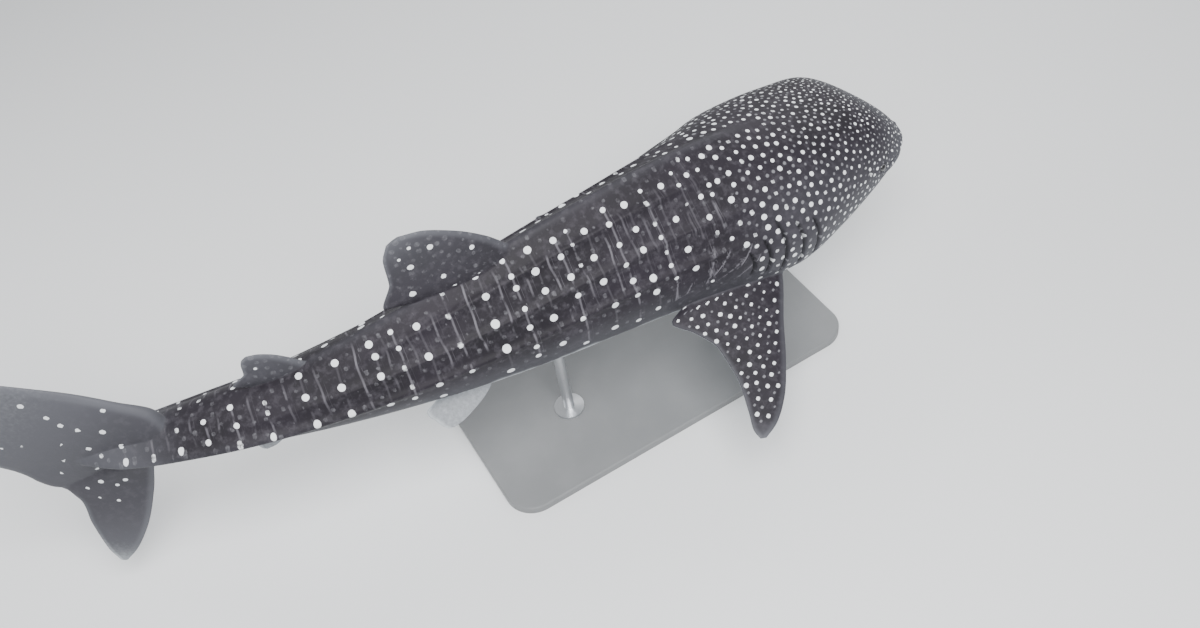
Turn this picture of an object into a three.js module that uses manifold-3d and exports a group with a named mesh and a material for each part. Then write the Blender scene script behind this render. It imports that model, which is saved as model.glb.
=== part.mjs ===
// Whale shark, a still life-size museum model on a plain display stand.
// Millimetres, +Z up, head towards +X. The origin is the centre of the underside of the stand's base.
//
// The animal is drawn straight and then bent: a point of the straight animal is
// (station, side, height), each in percent of the total length. Station runs back from the
// tip of the snout, side is positive to the animal's left, and height is measured from its axis.
import * as THREE from "three";
import Module from "manifold-3d";

const wasm = await Module();
wasm.setup();

// Driving dimensions, in millimetres.
const TOTAL_LENGTH = 5500;
const PERCENT = TOTAL_LENGTH / 100;
const GAP = 0.3;
const SLIVER = 0.1;
const AXIS_HEIGHT = 1060;
const BALANCE = { station: 31, side: 1 };

// The bend of the body as seen from above: thousandths of a radian for each percent of length.
const BEND = [[0, 6.9], [25, 6], [45, 6.3], [60, 7.7], [80, 6], [105, 5.2]];
const BEND_STEP = 0.25;
const STRAIGHT_AHEAD = 35;
const SPINE_END = 105;

// The body's outline, as [station, size] in percent of the total length.
const HALF_WIDTH = [
  [0, 7.2], [3, 7.6], [7, 8.25], [12, 9.1], [17, 9.7], [22, 8.7], [30, 6.8], [40, 5.7],
  [50, 4.9], [60, 4.1], [68, 3.5], [75, 2.7], [80, 2.1], [86, 0.6],
];
const TOP = [
  [0, 2.9], [4, 4.3], [10, 5.95], [16, 7.3], [22, 8.5], [30, 9.05], [38, 8.65], [46, 7.5],
  [54, 5.75], [62, 4.1], [70, 2.7], [76, 1.9], [80, 1.6], [86, 0.8],
];
const BOTTOM = [
  [0, -3.4], [4, -4.7], [10, -6.1], [18, -7.2], [28, -7.4], [38, -7.2], [48, -6.1], [56, -4.8],
  [64, -3.55], [71, -2.35], [77, -1.6], [80, -1.45], [86, -0.6],
];
const WIDEST_LEVEL = [[0, -0.6], [6, -0.9], [12, -0.6], [40, -0.4], [60, -0.2], [77, 0], [86, 0]];
// How full the cross section is above and below its widest level: 2 is an ellipse, less is a roof.
const FULLNESS_ABOVE = [[0, 2.6], [10, 2.25], [20, 1.7], [30, 1.5], [45, 1.45], [60, 1.55], [86, 1.9]];
const FULLNESS_BELOW = [[0, 2.5], [10, 2.85], [20, 2.7], [40, 1.95], [60, 2.05], [77, 1.85], [86, 2]];
const NOSE = { widthLength: 4.5, widthPower: 3.2, heightLength: 6, heightPower: 2.3 };

// Where the body is parted, and how finely it is drawn.
const BODY_PARTS = [
  { name: "head", from: 0.05, to: 24 },
  { name: "trunk_front", from: 24, to: 36 },
  { name: "trunk_mid", from: 36, to: 48 },
  { name: "trunk_rear", from: 48, to: 60 },
  { name: "tail_front", from: 60, to: 70 },
  { name: "tail_stock", from: 70, to: 85 },
];
const STATION_STEP = 2;
const NOSE_STATIONS = [0.05, 0.3, 0.8, 1.5, 2.4, 3.4, 4.5];
const BELLY_ANGLES = [-90, -62, -42, -26, -12];
// Half the width of the blocks that part off the jaw and the lobes of the tail, in percent.
const CUT_HALF_WIDTH = 14;

// The ridges along each flank: the angle round the section in degrees, and the lift in percent.
const RIDGE_HALF_ANGLE = 8;
const BACK_SHOULDER_ANGLE = 78;
const RIDGES = [
  {
    angle: [[0, 12], [24, 19], [50, 12], [68, 0], [86, 0]],
    lift: [[18, 0], [27, 0.3], [60, 0.4], [73, 0.8], [81, 0.6], [85, 0]],
  },
  {
    angle: [[0, 34], [24, 38], [60, 32], [86, 30]],
    lift: [[20, 0], [28, 0.4], [58, 0.35], [70, 0]],
  },
  {
    angle: [[0, 58], [24, 61], [60, 56], [86, 55]],
    lift: [[22, 0], [30, 0.35], [50, 0.35], [62, 0]],
  },
];
const BACK_RIDGE_LIFT = [[18, 0], [26, 0.3], [42, 0.3], [56, 0.15], [64, 0]];

// Mouth, lips, nostrils, eyes, spiracles and gill slits, in percent.
const MOUTH = {
  frontStation: -2,
  cornerStation: 4.9,
  chinStation: 9.5,
  chinHeight: -9,
  upperLip: 0.62,
  lowerLip: 0.5,
};
const LIP = { turn: 86, steps: 20, sides: 8, sunk: 0.35, gap: 1.02 };
const NOSTRIL = { turn: 37, above: 1.45, back: 0.1, width: 0.5, height: 0.28, depth: 0.55 };
const BARBEL = { below: 0.42, ahead: 0.25, inward: 0.35, radii: [0.35, 0.25, 0.42] };
const EYE = { station: 5.9, height: -0.3, radius: 0.45, sunk: 0.12, rows: 10, columns: 16 };
const EYE_RIM = { radius: 0.514, bead: 0.16, steps: 14, sides: 6 };
const SPIRACLE = { station: 8, height: 0.5, radius: 0.3, flat: 0.8 };
const GILL_SLITS = [
  { station: 16.1, low: -3.4, high: 1.6 },
  { station: 17.9, low: -3.7, high: 2.1 },
  { station: 19.7, low: -3.7, high: 2.9 },
  { station: 21.3, low: -3.2, high: 1.6 },
  { station: 22.9, low: -2.6, high: 0.8 },
];
const GILL = { width: 0.2, endShare: 0.25, above: 0.8, depth: 0.7, bow: 0.45, steps: 7 };
// The flap before each slit rises towards its edge, and reaches past the slit's ends.
const GILL_FLAP = {
  length: 1.4,
  lift: 0.28,
  endLift: 0.02,
  middle: { share: 0.4, lift: 0.7 },
  edge: 0.02,
  rootDepth: 0.15,
  edgeDepth: 0.4,
  pastLow: 0.17,
  pastHigh: 0.221,
};

// The fins. Each edge is a list of [share of the span, station, reach], both in percent.
// Reach is the height for the fins of the midline, and the way out from the body for the paired ones.
const FIN_EDGE = 0.05;
const FOIL = { fullness: 1.98, taper: 0.9 };
const FIRST_DORSAL = {
  leading: [[0, 42.4, 7.2], [0.2, 45, 10.25], [0.45, 47.6, 12.3], [0.75, 50.4, 13.7], [1, 52, 13.95]],
  trailing: [[0, 50.2, 5.6], [0.14, 55.4, 6.7], [0.35, 54.2, 9.2], [0.75, 54, 11.9], [1, 53.3, 13.5]],
  thickness: [[0, 1.5], [0.5, 0.8], [1, 0.3]],
};
const SECOND_DORSAL = {
  leading: [[0, 62.8, 3.2], [0.25, 64.4, 5], [0.5, 65.7, 6.1], [0.8, 66.9, 6.65], [1, 67.6, 6.75]],
  trailing: [[0, 66.3, 2.2], [0.16, 69.9, 3.6], [0.4, 68.6, 4.7], [0.75, 68.4, 5.9], [1, 68.2, 6.4]],
  thickness: [[0, 0.7], [0.5, 0.4], [1, 0.2]],
};
const ANAL = {
  leading: [[0, 65.8, -2.2], [0.25, 67.1, -3.9], [0.5, 68.3, -5.1], [0.8, 69.5, -5.8], [1, 70.1, -5.9]],
  trailing: [[0, 69, -1.4], [0.16, 72.3, -3], [0.4, 71.1, -3.9], [0.75, 70.8, -5.1], [1, 70.6, -5.6]],
  thickness: [[0, 0.7], [0.5, 0.4], [1, 0.2]],
};
const PECTORAL = {
  leading: [
    [0, 18.2, 0.6], [0.16, 20, 3.4], [0.34, 22.2, 6.3], [0.55, 24.5, 9.8], [0.75, 26.8, 12.8],
    [0.9, 28.9, 14.5], [1, 30.2, 15],
  ],
  trailing: [
    [0, 26.4, -0.6], [0.1, 31.7, 0.9], [0.22, 30.2, 3.1], [0.38, 29.2, 5.6], [0.55, 29.3, 8.4],
    [0.78, 30.2, 12], [0.92, 30.8, 14], [1, 30.7, 14.8],
  ],
  thickness: [[0, 1.6], [0.3, 1.1], [0.7, 0.6], [1, 0.25]],
  root: { side: 6, height: -3.9, droop: 24 },
};
const LEFT_PECTORAL_SWEEP = 8;
const PELVIC = {
  leading: [[0, 47.3, -0.9], [0.3, 49.3, 1.2], [0.6, 51.2, 2.3], [0.85, 52.6, 2.9], [1, 53.4, 3.1]],
  trailing: [[0, 51.8, -1.1], [0.2, 55.3, 0.9], [0.5, 54.8, 1.9], [0.8, 54.4, 2.6], [1, 54, 3]],
  thickness: [[0, 0.9], [0.5, 0.5], [1, 0.2]],
  root: { side: 2.5, height: -4.5, droop: 40 },
};
const CAUDAL_UPPER = {
  leading: [
    [0, 76.4, 1], [0.08, 76.9, 3.2], [0.2, 79.3, 5.7], [0.35, 82, 8.1], [0.5, 85.1, 10.2],
    [0.7, 89.6, 12.9], [0.88, 94, 15.6], [1, 96.9, 17.4],
  ],
  trailing: [
    [0, 79.5, -0.9], [0.1, 84, -2.3], [0.2, 88.3, -3.5], [0.3, 90.3, -0.7], [0.45, 92.7, 2.2],
    [0.65, 94.9, 7.5], [0.82, 96.5, 12.6], [0.92, 97.5, 15], [1, 97.6, 16.9],
  ],
  thickness: [[0, 2.4], [0.2, 2.2], [0.5, 1.1], [1, 0.3]],
};
const CAUDAL_LOWER = {
  leading: [
    [0, 77.6, -0.9], [0.14, 79.3, -2.5], [0.35, 81, -6.2], [0.6, 83.2, -10.3], [0.85, 85.8, -13.7],
    [1, 87.1, -14.8],
  ],
  trailing: [
    [0, 79.5, -0.2], [0.12, 84, -1.6], [0.25, 88.2, -2.9], [0.4, 87.4, -5.6], [0.6, 87.9, -8.8],
    [0.85, 88.1, -12.6], [1, 87.8, -14.6],
  ],
  thickness: [[0, 1.9], [0.3, 1.1], [0.7, 0.6], [1, 0.3]],
};
const LOWER_LOBE_LEAN = { share: 0.12, from: 76, full: 84 };
// The seam between the two lobes runs from the tail stock back to the fork, as [station, height].
const TAIL_SEAM = [[74, 1.09], [94, -4.96]];
const LOBE_SPACE = { height: 30, behind: 8 };
const FIN_SPAN_STEPS = 12;
const FIN_CHORD_STEPS = 8;

// The stand, in millimetres. The rods stand at two stations under the belly.
const BASE = { length: 2300, width: 1100, height: 50, corner: 160, cornerSteps: 8, bevel: 8 };
const ROD = { radius: 32, sides: 24, flangeRadius: 90, flangeHeight: 18, chamfer: 6 };
const PAD = { radius: 80, height: 55, taper: 25, above: 60 };
const ROD_STATIONS = { stand_rod_front: 22, stand_rod_rear: 41 };

const BOTH_SIDES = [1, -1];

const MATERIALS = {
  skin: new THREE.MeshStandardMaterial({ color: 0x4a474f, roughness: 0.6, metalness: 0 }),
  eye: new THREE.MeshStandardMaterial({ color: 0x101014, roughness: 0.15, metalness: 0 }),
  base: new THREE.MeshStandardMaterial({ color: 0x9a9c9e, roughness: 0.5, metalness: 0.1 }),
  rod: new THREE.MeshStandardMaterial({ color: 0xb4b6b8, roughness: 0.35, metalness: 0.9 }),
};

// A smooth curve through [place, value] knots that never overshoots them.
function curve(knots, place) {
  const count = knots.length;
  const at = THREE.MathUtils.clamp(place, knots[0][0], knots[count - 1][0]);
  let i = 0;
  while (i < count - 2 && at > knots[i + 1][0]) i += 1;
  const slope = (k) => (knots[k + 1][1] - knots[k][1]) / (knots[k + 1][0] - knots[k][0]);
  const tangent = (k) => {
    if (k === 0) return slope(0);
    if (k === count - 1) return slope(count - 2);
    const before = slope(k - 1);
    const after = slope(k);
    if (before * after <= 0) return 0;
    const short = knots[k][0] - knots[k - 1][0];
    const long = knots[k + 1][0] - knots[k][0];
    const weightBefore = 2 * long + short;
    const weightAfter = long + 2 * short;
    return (weightBefore + weightAfter) / (weightBefore / before + weightAfter / after);
  };
  const width = knots[i + 1][0] - knots[i][0];
  const t = (at - knots[i][0]) / width;
  const start = (2 * t ** 3 - 3 * t ** 2 + 1) * knots[i][1] + (t ** 3 - 2 * t ** 2 + t) * width * tangent(i);
  const end = (3 * t ** 2 - 2 * t ** 3) * knots[i + 1][1] + (t ** 3 - t ** 2) * width * tangent(i + 1);
  return start + end;
}

// The line of the spine seen from above, as steps of { x, y, heading }.
function traceSpine() {
  const steps = [{ x: 0, y: 0, heading: 0 }];
  for (let s = BEND_STEP; s <= SPINE_END; s += BEND_STEP) {
    const last = steps[steps.length - 1];
    const heading = last.heading - (curve(BEND, s) * BEND_STEP) / 1000;
    const middle = (heading + last.heading) / 2;
    steps.push({
      x: last.x - Math.cos(middle) * BEND_STEP,
      y: last.y - Math.sin(middle) * BEND_STEP,
      heading,
    });
  }
  const ahead = steps[STRAIGHT_AHEAD / BEND_STEP].heading;
  const cos = Math.cos(-ahead);
  const sin = Math.sin(-ahead);
  return steps.map(({ x, y, heading }) => ({
    x: x * cos - y * sin,
    y: x * sin + y * cos,
    heading: heading - ahead,
  }));
}

const SPINE = traceSpine();

function spineAt(station) {
  const at = THREE.MathUtils.clamp(station / BEND_STEP, 0, SPINE.length - 1.001);
  const i = Math.floor(at);
  const t = at - i;
  const mix = (key) => SPINE[i][key] * (1 - t) + SPINE[i + 1][key] * t;
  return { x: mix("x"), y: mix("y"), heading: mix("heading") };
}

function bendFlat(station, side) {
  const { x, y, heading } = spineAt(station);
  return { x: x - side * Math.sin(heading), y: y + side * Math.cos(heading) };
}

const CENTRE = bendFlat(BALANCE.station, BALANCE.side);

// A point of the straight animal, bent and set over the stand, in millimetres.
function bend([station, side, height]) {
  const { x, y } = bendFlat(station, side);
  return new THREE.Vector3(
    (x - CENTRE.x) * PERCENT,
    (y - CENTRE.y) * PERCENT,
    height * PERCENT + AXIS_HEIGHT,
  );
}

function capped(station, length, power) {
  const left = THREE.MathUtils.clamp(1 - station / length, 0, 1);
  return (1 - left ** power) ** (1 / power);
}

// The half width, top and bottom of the body at a station, and how full its section is.
function sectionAt(station) {
  const level = curve(WIDEST_LEVEL, station);
  const blunt = capped(station, NOSE.heightLength, NOSE.heightPower);
  return {
    level,
    halfWidth: curve(HALF_WIDTH, station) * capped(station, NOSE.widthLength, NOSE.widthPower),
    above: (curve(TOP, station) - level) * blunt,
    below: (level - curve(BOTTOM, station)) * blunt,
    fullAbove: curve(FULLNESS_ABOVE, station),
    fullBelow: curve(FULLNESS_BELOW, station),
  };
}

// How far out the flank is at a height.
function flankAt(station, height) {
  const { level, halfWidth, above, below, fullAbove, fullBelow } = sectionAt(station);
  const up = height >= level;
  const reach = Math.min(1, Math.abs(height - level) / (up ? above : below));
  const full = up ? fullAbove : fullBelow;
  return halfWidth * (1 - reach ** full) ** (1 / full);
}

// The angles round one side of the section, from the belly to the back, with the lift of each.
function sectionLines(station) {
  const lines = BELLY_ANGLES.map((angle) => ({ angle, lift: 0 }));
  const centres = RIDGES.map((ridge) => curve(ridge.angle, station));
  RIDGES.forEach((ridge, i) => {
    if (i > 0) lines.push({ angle: (centres[i - 1] + centres[i]) / 2, lift: 0 });
    lines.push({ angle: centres[i] - RIDGE_HALF_ANGLE, lift: 0 });
    lines.push({ angle: centres[i], lift: curve(ridge.lift, station) });
    lines.push({ angle: centres[i] + RIDGE_HALF_ANGLE, lift: 0 });
  });
  lines.push({ angle: BACK_SHOULDER_ANGLE, lift: 0 });
  lines.push({ angle: 90, lift: curve(BACK_RIDGE_LIFT, station) });
  return lines;
}

// A point on the section, moved out along its normal by lift percent.
function sectionPoint(section, angle, lift) {
  const turn = THREE.MathUtils.degToRad(angle);
  const up = angle >= 0;
  const tall = up ? section.above : section.below;
  const full = up ? section.fullAbove : section.fullBelow;
  const cos = Math.max(0, Math.cos(turn));
  const sin = Math.sin(turn);
  const side = section.halfWidth * cos ** (2 / full);
  const rise = Math.sign(sin) * tall * Math.abs(sin) ** (2 / full);
  const normal = new THREE.Vector2(
    cos ** (2 - 2 / full) / section.halfWidth,
    (Math.sign(sin) * Math.abs(sin) ** (2 - 2 / full)) / tall,
  ).normalize();
  return [side + normal.x * lift, section.level + rise + normal.y * lift];
}

// One ring of the body: up the left side from the belly, and down the right side from the back.
function bodyRing(station, outset = 0) {
  const section = sectionAt(station);
  const left = sectionLines(station).map(({ angle, lift }) =>
    sectionPoint(section, angle, lift + outset / PERCENT),
  );
  const right = left.slice(1, -1).reverse();
  return [
    ...left.map(([side, height]) => bend([station, side, height])),
    ...right.map(([side, height]) => bend([station, -side, height])),
  ];
}

// A closed mesh of vertices and triangles as a solid that faces out.
function toSolid(points, triangles) {
  const volume = triangles.reduce((sum, [a, b, c]) => {
    const cross = new THREE.Vector3().crossVectors(points[b], points[c]);
    return sum + points[a].dot(cross);
  }, 0);
  const facing = volume < 0 ? triangles.map(([a, b, c]) => [a, c, b]) : triangles;
  const vertProperties = new Float32Array(points.flatMap((p) => [p.x, p.y, p.z]));
  const triVerts = new Uint32Array(facing.flat());
  return new wasm.Manifold(new wasm.Mesh({ numProp: 3, vertProperties, triVerts }));
}

// A solid through rings of equal count, closed by a fan at each end.
// The diagonals of the second half of each ring mirror those of the first half.
function loft(rings) {
  const count = rings[0].length;
  const points = rings.flat();
  const triangles = [];
  for (let i = 0; i < rings.length - 1; i += 1) {
    for (let k = 0; k < count; k += 1) {
      const a = i * count + k;
      const b = i * count + ((k + 1) % count);
      const c = a + count;
      const d = b + count;
      if (k < count / 2) triangles.push([a, b, d], [a, d, c]);
      else triangles.push([a, b, c], [b, d, c]);
    }
  }
  const closeEnd = (ring, first, flip) => {
    const middle = points.length;
    const centre = new THREE.Vector3();
    ring.forEach((p) => centre.addScaledVector(p, 1 / count));
    points.push(centre);
    for (let k = 0; k < count; k += 1) {
      const a = first + k;
      const b = first + ((k + 1) % count);
      triangles.push(flip ? [middle, b, a] : [middle, a, b]);
    }
  };
  closeEnd(rings[0], 0, true);
  closeEnd(rings[rings.length - 1], (rings.length - 1) * count, false);
  return toSolid(points, triangles);
}

function largestPiece(solid) {
  const pieces = solid.decompose();
  return pieces.reduce((best, piece) => (piece.volume() > best.volume() ? piece : best));
}

function stationsBetween(from, to) {
  const steps = Math.round((to - from) / STATION_STEP);
  return Array.from({ length: steps + 1 }, (_, i) => from + ((to - from) * i) / steps);
}

function partStations({ from, to }) {
  if (from > 1) return stationsBetween(from, to);
  const nose = NOSE_STATIONS;
  return [...nose, ...stationsBetween(nose[nose.length - 1], to).slice(1)];
}

// One length of the body, a little short of its neighbours at both ends.
function bodyPart(part) {
  const short = GAP / 2 / PERCENT;
  const stations = partStations(part);
  const last = stations.length - 1;
  if (part.from > 1) stations[0] += short;
  stations[last] -= short;
  return loft(stations.map((station) => bodyRing(station)));
}

// The whole body enlarged by the gap, which fins and stand are cut with.
function bodyEnvelope() {
  const stations = BODY_PARTS.flatMap((part, i) => partStations(part).slice(i === 0 ? 0 : 1));
  return loft(stations.map((station) => bodyRing(station, GAP)));
}

// A closed prism over an outline of [station, height] points, across the whole body.
function crossPrism(outline) {
  const ring = (side) => outline.map(([station, height]) => bend([station, side, height]));
  return loft([ring(-CUT_HALF_WIDTH), ring(CUT_HALF_WIDTH)]);
}

// The space that the lower jaw takes, enlarged by a margin in percent.
function jawBlock(margin) {
  const front = MOUTH.frontStation - margin;
  return crossPrism([
    [front, curve(WIDEST_LEVEL, 0) + margin],
    [MOUTH.cornerStation + margin, curve(WIDEST_LEVEL, MOUTH.cornerStation) + margin],
    [MOUTH.chinStation + margin, MOUTH.chinHeight],
    [front, MOUTH.chinHeight],
  ]);
}

// The rim of the head at a turn from straight ahead in degrees: its place, and the way out.
function rimAt(turn) {
  const angle = THREE.MathUtils.degToRad(turn);
  const power = 2 / NOSE.widthPower;
  const station = NOSE.widthLength * (1 - Math.abs(Math.cos(angle)) ** power);
  const share = Math.sign(angle) * Math.abs(Math.sin(angle)) ** power;
  const side = curve(HALF_WIDTH, station) * share;
  return { station, side };
}

function rimNormal(turn) {
  const before = rimAt(turn - 1);
  const after = rimAt(turn + 1);
  const along = new THREE.Vector2(after.station - before.station, after.side - before.side).normalize();
  return { station: -along.y, side: along.x };
}

// A lip: a round bead along the rim of the mouth, half sunk in the head.
function lip(radius, direction) {
  const rings = [];
  for (let i = 0; i <= LIP.steps; i += 1) {
    const turn = LIP.turn * ((2 * i) / LIP.steps - 1);
    const rim = rimAt(turn);
    const normal = rimNormal(turn);
    const level = curve(WIDEST_LEVEL, rim.station) + direction * radius * LIP.gap;
    const ring = [];
    for (let k = 0; k < LIP.sides; k += 1) {
      const round = ((k + 0.5) / LIP.sides) * 2 * Math.PI;
      const out = (Math.cos(round) - LIP.sunk) * radius;
      const station = rim.station + normal.station * out;
      const side = rim.side + normal.side * out;
      ring.push(bend([station, side, level + Math.sin(round) * radius]));
    }
    rings.push(ring);
  }
  return loft(rings);
}

// An ellipsoid with its own radii along station, side and height.
function ellipsoid([station, side, height], [long, wide, tall], rows = 6, columns = 10) {
  const rings = [];
  for (let i = 0; i < rows; i += 1) {
    const latitude = ((i + 0.5) / rows - 0.5) * Math.PI;
    const ring = [];
    for (let k = 0; k < columns; k += 1) {
      const round = (k / columns) * 2 * Math.PI;
      const back = Math.cos(latitude) * Math.cos(round) * long;
      const out = Math.cos(latitude) * Math.sin(round) * wide;
      const up = Math.sin(latitude) * tall;
      ring.push(bend([station + back, side + out, height + up]));
    }
    rings.push(ring);
  }
  return loft(rings);
}

function eyeCentre(hand) {
  const out = flankAt(EYE.station, EYE.height) - EYE.sunk;
  return [EYE.station, hand * out, EYE.height];
}

function eyeball(hand, margin = 0) {
  const radius = EYE.radius + margin / PERCENT;
  return ellipsoid(eyeCentre(hand), [radius, radius, radius], EYE.rows, EYE.columns);
}

// A solid through rings that come back to the first one.
function closedLoft(rings) {
  const count = rings[0].length;
  const triangles = [];
  for (let i = 0; i < rings.length; i += 1) {
    for (let k = 0; k < count; k += 1) {
      const next = ((i + 1) % rings.length) * count;
      const a = i * count + k;
      const b = i * count + ((k + 1) % count);
      const c = next + k;
      const d = next + ((k + 1) % count);
      triangles.push([a, b, d], [a, d, c]);
    }
  }
  return toSolid(rings.flat(), triangles);
}

// The fold of skin round an eye: a bead on the flank.
function eyeRim(hand) {
  const { radius, bead, steps, sides } = EYE_RIM;
  const ringAt = (round) =>
    Array.from({ length: sides }, (_, k) => {
      const turn = (k / sides) * 2 * Math.PI;
      const reach = radius + Math.cos(turn) * bead;
      const station = EYE.station + Math.cos(round) * reach;
      const height = EYE.height + Math.sin(round) * reach;
      return bend([station, hand * (flankAt(station, height) + Math.sin(turn) * bead), height]);
    });
  return closedLoft(Array.from({ length: steps }, (_, i) => ringAt((i / steps) * 2 * Math.PI)));
}

// A strip down the flank: for each height, a small outline of [station, outset] points.
function flankStrip({ station, low, high }, hand, outline) {
  const rings = [];
  for (let i = 0; i <= GILL.steps; i += 1) {
    const share = i / GILL.steps;
    const height = low + (high - low) * share;
    const swell = Math.sin(Math.PI * share);
    const middle = station + GILL.bow * (1 - swell);
    rings.push(
      outline(swell).map(([offset, outset]) => {
        const s = middle + offset;
        return bend([s, hand * (flankAt(s, height) + outset), height]);
      }),
    );
  }
  return loft(rings);
}

function gillSlit(slit, hand) {
  return flankStrip(slit, hand, (swell) => {
    const half = (GILL.width / 2) * (GILL.endShare + (1 - GILL.endShare) * swell);
    return [[-half, GILL.above], [half, GILL.above], [half, -GILL.depth], [-half, -GILL.depth]];
  });
}

function gillFlap({ station, low, high }, hand) {
  const { length, middle, edge, rootDepth, edgeDepth } = GILL_FLAP;
  const longer = { station, low: low - GILL_FLAP.pastLow, high: high + GILL_FLAP.pastHigh };
  return flankStrip(longer, hand, (swell) => {
    const lift = GILL_FLAP.endLift + GILL_FLAP.lift * swell;
    return [
      [-length, -rootDepth],
      [-length * middle.share, lift * middle.lift],
      [edge, lift],
      [edge, -edgeDepth],
    ];
  });
}

function nostrilPlace(hand, above) {
  const { station, side } = rimAt(NOSTRIL.turn);
  return [station + NOSTRIL.back, hand * side, curve(WIDEST_LEVEL, station) + above];
}

function nostril(hand) {
  const radii = [NOSTRIL.depth, NOSTRIL.width, NOSTRIL.height];
  return ellipsoid(nostrilPlace(hand, NOSTRIL.above), radii);
}

// The short flap of skin that hangs from the inner edge of the nostril.
function nasalBarbel(hand) {
  const [station, side, height] = nostrilPlace(hand, NOSTRIL.above - BARBEL.below);
  return ellipsoid([station - BARBEL.ahead, side - hand * BARBEL.inward, height], BARBEL.radii);
}

function spiracle(hand) {
  const side = hand * flankAt(SPIRACLE.station, SPIRACLE.height);
  const { radius, flat } = SPIRACLE;
  return ellipsoid([SPIRACLE.station, side, SPIRACLE.height], [radius, radius, radius * flat]);
}

function makeHead(loftedHead) {
  let head = loftedHead.add(lip(MOUTH.upperLip, 1));
  BOTH_SIDES.forEach((hand) => {
    GILL_SLITS.forEach((slit) => {
      head = head.add(gillFlap(slit, hand));
    });
    head = head.add(eyeRim(hand)).add(nasalBarbel(hand));
  });
  head = head.subtract(jawBlock(GAP / PERCENT));
  BOTH_SIDES.forEach((hand) => {
    GILL_SLITS.forEach((slit) => {
      head = head.subtract(gillSlit(slit, hand));
    });
    head = head.subtract(nostril(hand)).subtract(spiracle(hand)).subtract(eyeball(hand, GAP));
  });
  return largestPiece(head);
}

function makeLowerJaw(loftedHead) {
  return largestPiece(loftedHead.add(lip(MOUTH.lowerLip, -1)).intersect(jawBlock(0)));
}

// The way from a fin's own reach to the straight animal, on the midline.
function onMidline(station, reach, offset) {
  return [station, offset, reach];
}

function onTailFin(station, reach, offset) {
  const sag = Math.min(0, reach) * LOWER_LOBE_LEAN.share;
  const share = THREE.MathUtils.smoothstep(station, LOWER_LOBE_LEAN.from, LOWER_LOBE_LEAN.full);
  return [station, offset + sag * share, reach];
}

// The way for a paired fin: out from its root, drooping, and swept back by some degrees.
function onSide({ side, height, droop }, hand, sweep = 0) {
  const cos = Math.cos(THREE.MathUtils.degToRad(droop));
  const sin = Math.sin(THREE.MathUtils.degToRad(droop));
  const back = Math.tan(THREE.MathUtils.degToRad(sweep));
  return (station, reach, offset) => [
    station + Math.max(0, reach) * back,
    hand * (side + reach * cos + offset * sin),
    height - reach * sin + offset * cos,
  ];
}

// Half the thickness of a fin at a share of its chord: round in front and thin behind.
function foil(share) {
  return FOIL.fullness * Math.sqrt(share) * (1 - share) ** FOIL.taper;
}

// A fin: a thin section swept from the root to the tip between its two edges.
function fin({ leading, trailing, thickness }, placeOf) {
  const edgeAt = (edge, share) => [
    curve(edge.map(([at, station]) => [at, station]), share),
    curve(edge.map(([at, , reach]) => [at, reach]), share),
  ];
  const rings = [];
  for (let i = 0; i <= FIN_SPAN_STEPS; i += 1) {
    const share = i / FIN_SPAN_STEPS;
    const [frontStation, frontReach] = edgeAt(leading, share);
    const [rearStation, rearReach] = edgeAt(trailing, share);
    const face = (hand) =>
      Array.from({ length: FIN_CHORD_STEPS + 1 }, (_, j) => {
        const along = 1 - Math.cos((j / FIN_CHORD_STEPS) * (Math.PI / 2));
        const half = FIN_EDGE / 2 + (curve(thickness, share) / 2) * foil(along);
        const station = frontStation + (rearStation - frontStation) * along;
        const reach = frontReach + (rearReach - frontReach) * along;
        return bend(placeOf(station, reach, hand * half));
      });
    rings.push([...face(1), ...face(-1).reverse()]);
  }
  return loft(rings);
}

// The space of one lobe of the tail fin: above the seam, or below it, short of it by half the gap.
function lobeBlock(direction) {
  const margin = (direction * GAP) / 2 / PERCENT;
  const far = direction * LOBE_SPACE.height;
  const [[frontStation, frontHeight], [rearStation, rearHeight]] = TAIL_SEAM;
  const behind = rearStation + LOBE_SPACE.behind;
  return crossPrism([
    [frontStation, frontHeight + margin],
    [rearStation, rearHeight + margin],
    [behind, rearHeight + margin],
    [behind, far],
    [frontStation, far],
  ]);
}

function roundedBase() {
  const { length, width, height, corner, cornerSteps, bevel } = BASE;
  const x = length / 2 - corner - bevel;
  const y = width / 2 - corner - bevel;
  const outline = new THREE.Shape();
  outline.absarc(x, y, corner, 0, Math.PI / 2);
  outline.absarc(-x, y, corner, Math.PI / 2, Math.PI);
  outline.absarc(-x, -y, corner, Math.PI, Math.PI * 1.5);
  outline.absarc(x, -y, corner, Math.PI * 1.5, Math.PI * 2);
  const plan = outline.getPoints(cornerSteps).slice(0, -1);
  const ringAt = (grow, level) =>
    plan.map((p) => {
      const out = new THREE.Vector2(
        p.x - THREE.MathUtils.clamp(p.x, -x, x),
        p.y - THREE.MathUtils.clamp(p.y, -y, y),
      ).normalize();
      return new THREE.Vector3(p.x + out.x * grow, p.y + out.y * grow, level);
    });
  return loft([ringAt(bevel, 0), ringAt(bevel, height - bevel), ringAt(0, height)]);
}

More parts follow.
